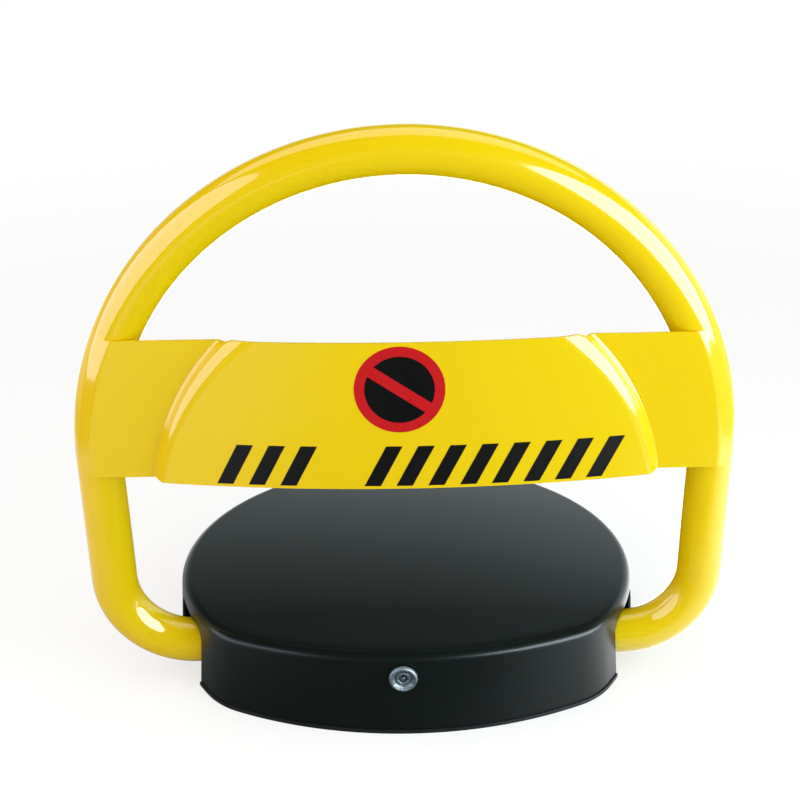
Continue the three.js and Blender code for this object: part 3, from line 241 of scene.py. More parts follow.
# Shader nodes
class Wire:
    """A value in a finish's nodes. Arithmetic on it adds Math nodes."""

    def __init__(self, finish, socket):
        self.finish = finish
        self.socket = socket

    def math(self, operation, *values):
        return self.finish.add("ShaderNodeMath", {"operation": operation}, dict(enumerate(values)))

    def __add__(self, other):
        return self.math("ADD", self, other)

    __radd__ = __add__

    def __sub__(self, other):
        return self.math("SUBTRACT", self, other)

    def __rsub__(self, other):
        return self.math("SUBTRACT", other, self)

    def __mul__(self, other):
        return self.math("MULTIPLY", self, other)

    __rmul__ = __mul__

    def __gt__(self, other):
        return self.math("GREATER_THAN", self, other)

    def __lt__(self, other):
        return self.math("LESS_THAN", self, other)


class Finish:
    """A material in the making."""

    def __init__(self, name):
        self.material = bpy.data.materials.new(name)
        self.material.use_nodes = True
        self.tree = self.material.node_tree
        self.tree.nodes.clear()

    def add(self, kind, settings=None, inputs=None, output=0):
        node = self.tree.nodes.new(kind)
        for key, value in (settings or {}).items():
            if key == "stops":
                ramp = node.color_ramp
                while len(ramp.elements) < len(value):
                    ramp.elements.new(1)
                for element, (position, colour) in zip(ramp.elements, value):
                    element.position = position
                    element.color = colour
            else:
                setattr(node, key, value)
        for key, value in (inputs or {}).items():
            if isinstance(value, Wire):
                self.tree.links.new(value.socket, node.inputs[key])
            else:
                node.inputs[key].default_value = value
        return Wire(self, node.outputs[output])

    def place(self):
        return self.add("ShaderNodeTexCoord", output="Object")

    def along(self, axis, place=None):
        return self.add("ShaderNodeSeparateXYZ", inputs={0: place or self.place()}, output=axis)

    def noise(self, scale, detail=2.0, place=None):
        inputs = {"Vector": place or self.place(), "Scale": scale, "Detail": detail}
        return self.add("ShaderNodeTexNoise", inputs=inputs)

    def stretched(self, x, y, z):
        inputs = {0: self.place(), 1: (x, y, z)}
        return self.add("ShaderNodeVectorMath", {"operation": "MULTIPLY"}, inputs)

    def specks(self, scale, size, share):
        """Small round marks, in a share of the cells of an uneven grid."""
        inputs = {"Vector": self.place(), "Scale": scale}
        distance = self.add("ShaderNodeTexVoronoi", inputs=inputs)
        chance = self.add("ShaderNodeTexVoronoi", inputs=inputs, output="Color")
        first = self.add("ShaderNodeSeparateColor", inputs={0: chance})
        return (distance < size) * (first < share)

    def mix(self, factor, first, second):
        inputs = {0: factor, MIX_FIRST: first, MIX_SECOND: second}
        return self.add("ShaderNodeMix", {"data_type": "RGBA"}, inputs, MIX_RESULT)

    def slope(self, value, start, end):
        """0 at the start, 1 at the end, smooth between."""
        inputs = {"Value": value, "From Min": start, "From Max": end}
        return self.add("ShaderNodeMapRange", {"interpolation_type": "SMOOTHSTEP"}, inputs)

    def matt(self, grey):
        return self.add("ShaderNodeBsdfDiffuse", inputs={"Color": (grey, grey, grey, 1)})

    def glow(self, grey, strength=1.0):
        inputs = {"Color": (grey, grey, grey, 1), "Strength": strength}
        return self.add("ShaderNodeEmission", inputs=inputs)

    def bump(self, height, strength, distance):
        inputs = {"Height": height, "Strength": strength, "Distance": distance}
        return self.add("ShaderNodeBump", inputs=inputs)

    def shade(self, **inputs):
        named = {key.replace("_", " ").title(): value for key, value in inputs.items()}
        if "Specular" in named:
            named["Specular IOR Level"] = named.pop("Specular")
        shader = self.add("ShaderNodeBsdfPrincipled", inputs=named)
        self.add_output(shader)
        return self.material

    def add_output(self, shader):
        node = self.tree.nodes.new("ShaderNodeOutputMaterial")
        self.tree.links.new(shader.socket, node.inputs["Surface"])


def colour(red, green, blue):
    """A colour from its display values of 0 to 255, by the sRGB curve."""
    linear = []
    for value in (red, green, blue):
        share = value / 255
        linear.append(share / 12.92 if share <= 0.04045 else ((share + 0.055) / 1.055) ** 2.4)
    return (*linear, 1.0)


def yellow_powder_coat():
    finish = Finish("yellow_powder_coat")
    cloud = finish.noise(7.0, 3.0)
    paint = finish.mix(cloud, colour(234, 197, 9), colour(238, 202, 11))
    grit = finish.specks(24.0, 0.012, 0.1)
    paint = finish.mix(grit, paint, colour(96, 72, 10))
    peel = finish.noise(420.0, 2.0)
    return finish.shade(
        base_color=paint,
        roughness=finish.noise(60.0, 2.0) * 0.03 + 0.07,
        specular=0.5,
        normal=finish.bump(peel, 0.03, 0.0003),
    )


def satin_dark_coat():
    finish = Finish("satin_dark_coat")
    cloud = finish.noise(9.0, 4.0)
    paint = finish.mix(cloud, colour(11, 18, 16), colour(14, 22, 20))
    dust = finish.specks(60.0, 0.02, 0.12)
    paint = finish.mix(dust * 0.5, paint, colour(120, 122, 122))
    grain = finish.noise(1400.0, 2.0)
    return finish.shade(
        base_color=paint,
        roughness=finish.noise(30.0, 3.0) * 0.05 + 0.27,
        specular=0.32,
        specular_tint=(0.86, 0.96, 1.0, 1.0),
        normal=finish.bump(grain, 0.12, 0.0002),
    )


def metal(name, light, dark, roughness, scale, stretch=(1.0, 1.0, 1.0), metallic=1.0):
    finish = Finish(name)
    grain = finish.noise(scale, 4.0, finish.stretched(*stretch))
    body = finish.mix(grain, colour(*dark), colour(*light))
    stains = finish.noise(40.0, 3.0)
    return finish.shade(
        base_color=finish.mix(stains * 0.4, body, colour(*dark)),
        metallic=metallic,
        roughness=grain * 0.16 + roughness,
        normal=finish.bump(grain, 0.08, 0.0002),
    )


def plastic(name, light, dark, roughness, scale=900.0, specular=0.4):
    finish = Finish(name)
    texture = finish.noise(scale, 2.0)
    body = finish.mix(finish.noise(25.0, 3.0), colour(*dark), colour(*light))
    return finish.shade(
        base_color=body,
        roughness=texture * 0.1 + roughness,
        specular=specular,
        normal=finish.bump(texture, 0.15, 0.0002),
    )


def board_green():
    finish = Finish("board_green")
    wave = finish.add(
        "ShaderNodeTexVoronoi",
        {"feature": "F1", "distance": "MANHATTAN"},
        {"Vector": finish.place(), "Scale": 260.0},
    )
    tracks = (wave < 0.42) * (wave > 0.34)
    body = finish.mix(tracks, colour(22, 84, 48), colour(46, 122, 72))
    return finish.shade(base_color=body, roughness=tracks * 0.1 + 0.35)


def cell_sleeve():
    finish = Finish("cell_sleeve")
    collar = finish.along("Y") > CELL_COLLAR_Y * MM
    body = finish.mix(collar, colour(34, 96, 66), colour(190, 158, 60))
    fine = finish.noise(300.0, 2.0)
    return finish.shade(base_color=body, roughness=fine * 0.08 + 0.3, metallic=0.2)


def no_stopping_film():
    """Red rim and red bar on black, by the place on the disc."""
    finish = Finish("no_stopping_film")
    place = finish.place()
    x = finish.along("X", place) - DISC_X * MM
    z = finish.along("Z", place) - DISC_Z * MM
    away = finish.add("ShaderNodeMath", {"operation": "SQRT"}, {0: x * x + z * z})
    across = x * -math.sin(DISC_BAR_TURN) + z * math.cos(DISC_BAR_TURN)
    on_bar = (across < DISC_BAR * MM) * (across > -DISC_BAR * MM)
    red = finish.add("ShaderNodeMath", {"operation": "MAXIMUM"}, {0: away > DISC_RIM * MM, 1: on_bar})
    cloud = finish.noise(30.0, 2.0)
    ink = finish.mix(cloud, colour(192, 13, 19), colour(198, 17, 24))
    return finish.shade(
        base_color=finish.mix(red, colour(8, 9, 8), ink),
        roughness=finish.noise(80.0, 2.0) * 0.06 + 0.25,
        specular=0.25,
    )


def black_film():
    finish = Finish("black_film")
    body = finish.mix(finish.noise(40.0, 3.0), colour(8, 8, 8), colour(14, 13, 13))
    return finish.shade(
        base_color=body,
        roughness=finish.noise(80.0, 2.0) * 0.06 + 0.28,
        specular=0.3,
    )


FINISHES = {
    "yellow_paint": yellow_powder_coat(),
    "dark_paint": satin_dark_coat(),
    "steel": metal("zinc_plated_steel", (190, 192, 196), (150, 152, 158), 0.28, 180.0, (1.0, 6.0, 1.0)),
    "dark_steel": metal("primed_steel", (60, 62, 66), (38, 40, 43), 0.42, 120.0, metallic=0.7),
    "bronze": metal("sintered_bronze", (196, 150, 88), (140, 100, 54), 0.35, 260.0),
    "copper_wire": metal("bare_wire", (214, 176, 104), (170, 132, 70), 0.25, 400.0, (0.2, 1.0, 1.0)),
    "cast_alloy": metal("cast_alloy", (182, 184, 188), (142, 145, 150), 0.5, 500.0),
    "rubber": plastic("matt_rubber", (34, 34, 34), (20, 20, 20), 0.75, 700.0, 0.2),
    "black_plastic": plastic("moulded_black_plastic", (42, 43, 45), (28, 29, 31), 0.5),
    "board_green": board_green(),
    "lock_chrome": metal("lock_chrome", (146, 160, 164), (70, 80, 84), 0.46, 600.0, metallic=0.9),
    "cell_jacket": cell_sleeve(),
    "red_jacket": plastic("red_cable_sheath", (168, 34, 34), (138, 22, 22), 0.45, 500.0),
    "grey_jacket": plastic("grey_cable_sheath", (146, 149, 152), (116, 119, 122), 0.5, 500.0),
    "no_stopping_film": no_stopping_film(),
    "black_film": black_film(),
}


# Meshes
def new_mesh(name, points, faces):
    """A mesh from points in millimetres."""
    mesh = bpy.data.meshes.new(name)
    mesh.from_pydata([[value * MM for value in point] for point in points], [], faces)
    mesh.update()
    return mesh


def new_piece(name, points, faces, finish, body, replaces=(), sharp=SMOOTH_ANGLE):
    mesh = new_mesh(name, points, faces)
    mesh.materials.append(FINISHES[finish])
    smooth(mesh, sharp)
    piece = put_in_scene(name, mesh)
    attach(piece, body)
    if replaces:
        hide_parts(*replaces)
    return piece


def smooth(mesh, sharp):
    mesh.polygons.foreach_set("use_smooth", [True] * len(mesh.polygons))
    mesh.set_sharp_from_angle(angle=math.radians(sharp))


def soften(piece, width):
    """Rounds the sharp edges of a piece."""
    bevel = piece.modifiers.new("edges", "BEVEL")
    bevel.width = width * MM
    bevel.segments = EDGE_STEPS
    bevel.limit_method = "ANGLE"
    bevel.angle_limit = math.radians(EDGE_ANGLE)


def band(first, second, closed=True):
    """Faces between two rows of point numbers."""
    count = len(first)
    last = count if closed else count - 1
    return [
        (first[i], first[(i + 1) % count], second[(i + 1) % count], second[i]) for i in range(last)
    ]


def border(grid):
    """The outer point numbers of a grid, in a loop."""
    return (
        grid[0]
        + [line[-1] for line in grid[1:]]
        + grid[-1][-2::-1]
        + [line[0] for line in grid[-2:0:-1]]
    )


def sheet_faces(front, back):
    """Faces of a thin sheet whose front and back are grids of point numbers."""
    faces = []
    for row in range(len(front) - 1):
        faces += band(front[row], front[row + 1], closed=False)
        faces += band(back[row + 1], back[row], closed=False)
    return faces + band(border(back), border(front))


def lathe(profile, steps, wave=None):
    """Points and faces of a closed profile of (radius, y) turned about the cover lock's axis."""
    points = []
    for i in range(steps):
        angle = 2 * math.pi * i / steps
        for radius, y in profile:
            shift = wave(radius, angle) if wave else 0
            points.append((LOCK_X + radius * math.cos(angle), y + shift, LOCK_Z + radius * math.sin(angle)))
    count = len(profile)
    rows = [[i * count + j for j in range(count)] for i in range(steps)]
    faces = []
    for i in range(steps):
        faces += band(rows[i], rows[(i + 1) % steps])
    return points, faces


def cutter(points, faces):
    mesh = new_mesh("cutter", points, faces)
    shape = bmesh.new()
    shape.from_mesh(mesh)
    bmesh.ops.recalc_face_normals(shape, faces=shape.faces)
    shape.to_mesh(mesh)
    shape.free()
    return put_in_scene("cutter", mesh)


def prism_cutter(axis, outline, start, end):
    """A cutter along an axis. The outline is in the other two axes, in the order x, y, z."""
    order = {"x": (2, 0, 1), "y": (0, 2, 1), "z": (0, 1, 2)}[axis]
    points = []
    for level in (start, end):
        points += [[(u, v, level)[i] for i in order] for u, v in outline]
    count = len(outline)
    first, second = list(range(count)), list(range(count, 2 * count))
    return cutter(points, [tuple(first[::-1]), tuple(second)] + band(first, second))


def cylinder_cutter(axis, u, v, radius, start, end):
    angles = [2 * math.pi * i / HOLE_STEPS for i in range(HOLE_STEPS)]
    outline = [(u + radius * math.cos(angle), v + radius * math.sin(angle)) for angle in angles]
    return prism_cutter(axis, outline, start, end)


def rounded_rectangle(u_from, u_to, v_from, v_to, radius, steps=ROUNDED_CORNER_STEPS):
    outline = []
    corners = ((u_to - radius, v_to - radius), (u_from + radius, v_to - radius),
               (u_from + radius, v_from + radius), (u_to - radius, v_from + radius))
    for quarter, (u, v) in enumerate(corners):
        for i in range(steps + 1):
            angle = math.pi / 2 * (quarter + i / steps)
            outline.append((u + radius * math.cos(angle), v + radius * math.sin(angle)))
    return outline


def cut(piece, tools, sharp=SMOOTH_ANGLE):
    """Takes the tools out of a piece's mesh."""
    for tool in tools:
        modifier = piece.modifiers.new("cut", "BOOLEAN")
        modifier.operation = "DIFFERENCE"
        modifier.solver = "EXACT"
        modifier.object = tool
    bpy.context.view_layer.update()
    graph = bpy.context.evaluated_depsgraph_get()
    mesh = bpy.data.meshes.new_from_object(piece.evaluated_get(graph))
    piece.modifiers.clear()
    piece.data = mesh
    smooth(mesh, sharp)
    for tool in tools:
        bpy.data.objects.remove(tool)


# Arm tube
def arm_stations():
    """Places on the tube's centreline as (x, z, direction), from its right end over the top."""
    right = []
    for i in range(STUB_STEPS + 1):
        right.append((TUBE_END_X + STUB_LENGTH * i / STUB_STEPS, PIVOT_Z, 0.0))
    for i in range(1, BEND_STEPS + 1):
        turn = math.pi / 2 * i / BEND_STEPS
        x = BEND_X + BEND_RADIUS * math.sin(turn)
        z = PIVOT_Z + BEND_RADIUS * (1 - math.cos(turn))
        right.append((x, z, turn))
    leg_bottom = PIVOT_Z + BEND_RADIUS
    for i in range(1, LEG_STEPS + 1):
        right.append((RING_RADIUS, leg_bottom + (RING_Z - leg_bottom) * i / LEG_STEPS, math.pi / 2))
    ring = []
    for i in range(1, RING_STEPS):
        turn = math.pi * i / RING_STEPS
        x, z = RING_RADIUS * math.cos(turn), RING_Z + RING_RADIUS * math.sin(turn)
        ring.append((x, z, math.pi / 2 + turn))
    left = [(-x, z, 2 * math.pi - turn) for x, z, turn in reversed(right)]
    return right + ring + left


def arm_tube():
    points = []
    outer, inner = [], []
    for rows, radius in ((outer, TUBE_RADIUS), (inner, TUBE_RADIUS - TUBE_WALL)):
        for x, z, turn in arm_stations():
            row = []
            for i in range(TUBE_SIDES):
                angle = 2 * math.pi * i / TUBE_SIDES
                out, y = radius * math.cos(angle), -radius * math.sin(angle)
                row.append(len(points))
                points.append((x + out * math.sin(turn), y, z - out * math.cos(turn)))
            rows.append(row)
    faces = []
    for a, b in zip(outer, outer[1:]):
        faces += band(b, a)
    for a, b in zip(inner, inner[1:]):
        faces += band(a, b)
    faces += band(outer[0], inner[0]) + band(inner[-1], outer[-1])
    tube = new_piece(
        "painted_arm_tube", points, faces, "yellow_paint", "arm", ["arm_tube"]
    )
    bolt_x = TUBE_END_X + ARM_BOLT_INSET
    reach = 2 * TUBE_RADIUS
    holes = [
        cylinder_cutter("z", side * bolt_x, 0, ARM_BOLT_HOLE, PIVOT_Z - reach, PIVOT_Z + reach)
        for side in (-1, 1)
    ]
    cut(tube, holes)


# Sign plate
def half_width(radius, rise):
    """Half the width of a circle at a distance from its centre."""
    return math.sqrt(max(0.0, radius * radius - rise * rise))


def between(pair, share):
    return pair[0] + (pair[1] - pair[0]) * share


def clamped(value):
    return min(1.0, max(0.0, value))


def eased(share):
    """From 0 to 1 with a level start and end."""
    return share * share * (3 - 2 * share)


def up_plate(rise):
    return (rise - PLATE_BOTTOM) / PLATE_HEIGHT


def inside_foot(x, rise):
    """How far inside the foot of the raised middle a place on the plate is."""
    return BUMP_FOOT - math.hypot(x, rise - BUMP_CENTRE)


def bump_depth(x, rise):
    """How far the raised middle stands in front of the plate's flat ends: wall, shoulder and crown."""
    inside = inside_foot(x, rise)
    if inside <= 0:
        return 0.0
    up = up_plate(rise)
    width = between(BUMP_SHOULDER, up)
    drop = between(BUMP_SHOULDER_DROP, up)
    crown = between(BUMP_DEPTH, up) - BUMP_SIDE_FALL * (x / BUMP_FOOT) ** 2
    if inside >= BUMP_WALL:
        return crown - drop * max(0.0, 1 - (inside - BUMP_WALL) / width) ** 2
    share = inside / BUMP_WALL
    slope = 2 * drop * BUMP_WALL / width
    return (crown - drop) * eased(share) - slope * share ** 2 * (1 - share)


def bump_lift(x, rise):
    """How much higher a place of the raised middle is than the same row's flat ends."""
    share = clamped(inside_foot(x, rise) / BUMP_WALL - 1 / 2)
    return BUMP_TOP_RISE * up_plate(rise) * eased(share)


def crown_rise(z):
    """The row that a height on the raised middle belongs to."""
    steps = BUMP_TOP_RISE / PLATE_HEIGHT
    return (z - PIVOT_Z + steps * PLATE_BOTTOM) / (1 + steps)


def past_tube_middle(x, rise):
    """How far outside the tube's centreline a place on the plate is."""
    if rise > RING_RISE:
        return math.hypot(x, rise - RING_RISE) - RING_RADIUS
    return abs(x) - RING_RADIUS


def plate_front(x, rise):
    """Y of the plate's front face. Its ends follow the tube and run out on it."""
    past = past_tube_middle(x, rise)
    if past <= 0:
        return -PLATE_FRONT - bump_depth(x, rise)
    proud = (PLATE_FRONT - TUBE_RADIUS) * (1 - eased(clamped(past / WELD_REACH)))
    return -half_width(TUBE_RADIUS, past) - proud


def plate_back(x, rise):
    """Y of the plate's back face."""
    front = plate_front(x, rise)
    past = past_tube_middle(x, rise)
    if past > 0:
        return min(PLATE_GAP - half_width(TUBE_RADIUS, past), front + PLATE_THICKNESS)
    reach = SLOPE_REACH
    slope = (plate_front(x + reach, rise) - plate_front(x - reach, rise)) / (2 * reach)
    return front + PLATE_THICKNESS * min(MOST_THICKENING, math.hypot(1, slope))


def plate_columns(rise):
    """The x of each point in a row of the plate, closer together where the plate curves."""
    shoulder = BUMP_FOOT - BUMP_WALL
    crown = shoulder - between(BUMP_SHOULDER, up_plate(rise))
    above_ring = max(0.0, rise - RING_RISE)
    stops = [(0, 0)]
    stops += [
        (half_width(radius, rise - BUMP_CENTRE), count)
        for radius, count in (
            (crown, CROWN_COLUMNS), (shoulder, SHOULDER_COLUMNS), (BUMP_FOOT, WALL_COLUMNS),
            (BUMP_FOOT + FOOT_STRIP, FOOT_COLUMNS),
        )
    ]
    stops += [
        (half_width(radius, above_ring), count)
        for radius, count in ((RING_RADIUS, FLAT_COLUMNS), (RING_RADIUS + WELD_REACH, EDGE_COLUMNS))
    ]
    right = []
    for (start, _), (end, count) in zip(stops, stops[1:]):
        right += [start + (end - start) * i / count for i in range(1, count + 1)]
    return [-x for x in reversed(right)] + [0.0] + right


def sign_plate():
    points = []
    layers = []
    for face_y in (plate_front, plate_back):
        grid = []
        for row in range(PLATE_ROWS):
            rise = PLATE_BOTTOM + PLATE_HEIGHT * row / (PLATE_ROWS - 1)
            line = []
            for x in plate_columns(rise):
                line.append(len(points))
                points.append((x, face_y(x, rise), PIVOT_Z + rise + bump_lift(x, rise)))
            grid.append(line)
        layers.append(grid)
    plate = new_piece(
        "pressed_sign_plate", points, sheet_faces(*layers), "yellow_paint", "arm",
        ["sign_plate"], PLATE_SMOOTH_ANGLE
    )
    soften(plate, PLATE_EDGE_ROUND)


def film_point(x, z, lift):
    """A point a little in front of the raised middle's face."""
    return (x, plate_front(x, crown_rise(z)) - lift, z)


def film(name, rows, finish):
    """A thin film on the plate's face, from rows of (x, z)."""
    points = []
    layers = []
    for lift in (FILM_PROUD, -FILM_PROUD):
        grid = []
        for line in rows:
            numbers = []
            for x, z in line:
                numbers.append(len(points))
                points.append(film_point(x, z, lift))
            grid.append(numbers)
        layers.append(grid)
    new_piece(name, points, sheet_faces(*layers), finish, "arm")


def disc_film():
    """The round sign, as a polar grid bent over the plate."""
    points = []
    layers = []
    for lift in (FILM_PROUD, -FILM_PROUD):
        grid = []
        for ring in range(1, DISC_RINGS + 1):
            radius = DISC_RADIUS * ring / DISC_RINGS
            numbers = []
            for i in range(DISC_STEPS):
                angle = 2 * math.pi * i / DISC_STEPS
                x = DISC_X + radius * math.cos(angle)
                z = DISC_Z + radius * math.sin(angle)
                numbers.append(len(points))
                points.append(film_point(x, z, lift))
            grid.append(numbers)
        centre = len(points)
        points.append(film_point(DISC_X, DISC_Z, lift))
        layers.append((grid, centre))
    (front, front_centre), (back, back_centre) = layers
    faces = []
    for a, b in zip(front, front[1:]):
        faces += band(b, a)
    for a, b in zip(back, back[1:]):
        faces += band(a, b)
    for i in range(DISC_STEPS):
        after = (i + 1) % DISC_STEPS
        faces.append((front_centre, front[0][i], front[0][after]))
        faces.append((back_centre, back[0][after], back[0][i]))
    faces += band(back[-1], front[-1])
    new_piece("no_stopping_disc", points, faces, "no_stopping_film", "arm")


def hazard_bars():
    """Slanted bars along the plate's lower edge."""
    number = 0
    for start, count in BAR_GROUPS:
        for i in range(count):
            number += 1
            left = start + BAR_PITCH * i
            rows = []
            for row in range(BAR_ROWS + 1):
                share = row / BAR_ROWS
                z = BAR_BOTTOM + (BAR_TOP - BAR_BOTTOM) * share
                start_x = left + BAR_SLANT * share
                rows.append([(start_x + BAR_WIDTH * j / BAR_COLUMNS, z) for j in range(BAR_COLUMNS + 1)])
            film(f"hazard_bar_{number}", rows, "black_film")


# Base and cover
def base_outline(inset):
    """The outline shared by base and cover: a big circle closed by a shallow front arc."""
    front_y = BASE_FRONT_Y + BASE_FRONT_RADIUS
    to_big = BASE_RADIUS - BASE_CORNER
    to_front = BASE_FRONT_RADIUS - BASE_CORNER
    apart = front_y - BASE_CENTRE_Y
    corner_y = BASE_CENTRE_Y + (to_big ** 2 - to_front ** 2 + apart ** 2) / (2 * apart)
    corner_x = half_width(to_big, corner_y - BASE_CENTRE_Y)
    big_angle = math.atan2(corner_y - BASE_CENTRE_Y, corner_x)
    front_angle = math.atan2(corner_y - front_y, corner_x)
    arcs = (
        (0, BASE_CENTRE_Y, BASE_RADIUS, big_angle, math.pi - big_angle, REAR_STEPS),
        (-corner_x, corner_y, BASE_CORNER, math.pi - big_angle, math.pi - front_angle, CORNER_STEPS),
        (0, front_y, BASE_FRONT_RADIUS, -math.pi - front_angle, front_angle, FRONT_STEPS),
        (corner_x, corner_y, BASE_CORNER, front_angle, big_angle, CORNER_STEPS),
    )
    outline = []
    for x, y, radius, start, end, count in arcs:
        for i in range(count):
            angle = start + (end - start) * i / count
            reach = radius - inset
            outline.append((x + reach * math.cos(angle), y + reach * math.sin(angle)))
    return outline


def cover_top_at(x, y):
    """Height of the cover's top, which falls to the back and a little to the sides."""
    back = max(0.0, (y - COVER_LEVEL_Y) / (BASE_REAR_Y - COVER_LEVEL_Y))
    rear_drop = COVER_REAR_DROP * back ** COVER_FALL_POWER
    return COVER_TOP - rear_drop - COVER_SIDE_DROP * (x / BASE_RADIUS) ** 2


def cover_skin(depth, points):
    """Rows of point numbers from the cover's foot over its rim to its middle, drawn in by a depth."""
    foot = base_outline(COVER_LIP + depth)
    edge = base_outline(COVER_LIP + COVER_LEAN + depth)
    inner = base_outline(COVER_LIP + COVER_LEAN + COVER_RIM + depth)
    rows = []

    def row(places):
        rows.append(list(range(len(points), len(points) + len(places))))
        points.extend(places)

    tops = [cover_top_at(*place) - depth for place in inner]
    for i in range(COVER_WALL_STEPS):
        share = i / COVER_WALL_STEPS
        row([
            (
                f[0] + (e[0] - f[0]) * share,
                f[1] + (e[1] - f[1]) * share,
                BASE_THICKNESS + (top - COVER_RIM - BASE_THICKNESS) * share,
            )
            for f, e, top in zip(foot, edge, tops)
        ])
    for i in range(COVER_RIM_STEPS + 1):
        angle = math.pi / 2 * i / COVER_RIM_STEPS
        share = 1 - math.cos(angle)
        row([
            (
                e[0] + (n[0] - e[0]) * share,
                e[1] + (n[1] - e[1]) * share,
                top - COVER_RIM * (1 - math.sin(angle)),
            )
            for e, n, top in zip(edge, inner, tops)
        ])
    for i in range(1, COVER_RINGS):
        share = 1 - i / COVER_RINGS
        places = [(x * share, BASE_CENTRE_Y + (y - BASE_CENTRE_Y) * share) for x, y in inner]
        row([(x, y, cover_top_at(x, y) - depth) for x, y in places])
    centre = len(points)
    points.append((0, BASE_CENTRE_Y, cover_top_at(0, BASE_CENTRE_Y) - depth))
    return rows, centre


def cover():
    points = []
    outer, outer_centre = cover_skin(0, points)
    inner, inner_centre = cover_skin(COVER_WALL, points)
    faces = []
    for rows, centre, turned in ((outer, outer_centre, False), (inner, inner_centre, True)):
        for a, b in zip(rows, rows[1:]):
            faces += band(b, a) if turned else band(a, b)
        last = rows[-1]
        for i in range(len(last)):
            pair = (last[i], last[(i + 1) % len(last)])
            faces.append((*(pair[::-1] if turned else pair), centre))
    faces += band(inner[0], outer[0])
    shell = new_piece(
        "coated_cover", points, faces, "dark_paint", "frame", ["cover"]
    )
    low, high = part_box("lock_body")
    hole = (high.x - low.x) / 2 / MM - LOCK_RIM_LAP
    notch = rounded_rectangle(NOTCH_FRONT, NOTCH_BACK, -NOTCH_CORNER, NOTCH_TOP, NOTCH_CORNER)
    tools = [
        prism_cutter("x", notch, *ends)
        for ends in ((-PAST_SIDE, -BEND_X / 2), (BEND_X / 2, PAST_SIDE))
    ]
    start, end = [BASE_FRONT_Y + offset for offset in LOCK_HOLE_CUT]
    tools.append(cylinder_cutter("y", LOCK_X, LOCK_Z, hole, start, end))
    cut(shell, tools)
    return shell


def base_plate():
    outline = base_outline(0)
    count = len(outline)
    points = [(x, y, z) for z in (0, BASE_THICKNESS) for x, y in outline]
    low, high = list(range(count)), list(range(count, 2 * count))
    faces = [tuple(low[::-1]), tuple(high)] + band(low, high)
    plate = new_piece(
        "primed_base_plate", points, faces, "dark_steel", "frame", ["base_plate"]
    )
    tools = [cylinder_cutter("z", x, y, ANCHOR_HOLE, *BASE_CUT) for x, y in ANCHORS]
    for low_x, high_x in ((-PAST_SIDE, -BASE_NOTCH_X), (BASE_NOTCH_X, PAST_SIDE)):
        notch = rounded_rectangle(low_x, high_x, NOTCH_FRONT, NOTCH_BACK, BASE_NOTCH_CORNER)
        tools.append(prism_cutter("z", notch, *BASE_CUT))
    cut(plate, tools)
    soften(plate, BASE_EDGE_ROUND)
    return plate


# Cover lock
def share_between(value, start, end):
    return clamped((value - start) / (end - start))


def flute_depth(radius, angle):
    """Shallow flutes on the lock's ring, which run out at both edges."""
    share = share_between(radius, *FLUTE_INNER) * share_between(radius, *FLUTE_OUTER)
    return FLUTE_HEIGHT * share * math.cos(FLUTES * angle)


def lock_face():
    low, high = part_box("lock_body")
    front, back = low.y / MM, high.y / MM
    profile = [(radius, front + depth) for radius, depth in LOCK_RING_PROFILE]
    profile += [(LOCK_NECK, back), (LOCK_RING_BORE, back)]
    points, faces = lathe(profile, LOCK_RING_STEPS, flute_depth)
    new_piece(
        "lock_ring", points, faces, "lock_chrome", "frame", ["lock_body"], LOCK_SMOOTH_ANGLE
    )


def lock_plug():
    """The plug's face has a round keyway about a centre pin, and a pin slot above it."""
    low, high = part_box("lock_cylinder")
    front, back = low.y / MM, high.y / MM
    profile = [(radius, front + depth) for radius, depth in LOCK_PLUG_PROFILE]
    profile += [(LOCK_PLUG_RADIUS, back), (LOCK_AXIS_GAP, back)]
    points, faces = lathe(profile, LOCK_PLUG_STEPS)
    plug = new_piece(
        "lock_plug_face", points, faces, "lock_chrome", "lock_plug", ["lock_cylinder"],
        LOCK_SMOOTH_ANGLE
    )
    left, right = LOCK_X - LOCK_SLOT_HALF_WIDTH, LOCK_X + LOCK_SLOT_HALF_WIDTH
    bottom, top = [LOCK_Z + rise for rise in LOCK_SLOT_RISE]
    slot = rounded_rectangle(left, right, bottom, top, LOCK_SLOT_CORNER, LOCK_SLOT_CORNER_STEPS)
    start, end = [front + depth for depth in LOCK_SLOT_CUT]
    cut(plug, [prism_cutter("y", slot, start, end)], LOCK_SMOOTH_ANGLE)


arm_tube()
sign_plate()
disc_film()
hazard_bars()
dark_pieces = (cover(), base_plate())
lock_face()
lock_plug()

for row in frame["record"]["subparts"]:
    node = nodes[row["node"]]
    if not node.hide_render:
        node.data.materials.clear()
        node.data.materials.append(FINISHES[row["material_slot"]])


# Floor, to the camera and to matt light
FLOOR_HALF = 12.0
FLOOR_GREY = 0.36
FLOOR_LIFT = 0.67
FLOOR_BOUNCE = 0.72
FLOOR_FADE = (0.5, 1.6)

# What gloss mirrors of the floor: the brightness of each side, and where it comes up and fades again
MIRRORED_FLOOR = 0.1
MIRRORED_RIGHT = 3.0
MIRRORED_LEFT = 0.8
RIGHT_START = (-0.1, 0.4)
RIGHT_SLANT = 0.9
RIGHT_END = (0.6, 0.74)
LEFT_START = (-0.08, -0.45)
LEFT_END = (-0.6, -0.74)
SIDE_LOSS = 0.85
BEHIND_START = (0.0, 0.4)
BEHIND_FROM_LEFT = (-0.5, 0.0)

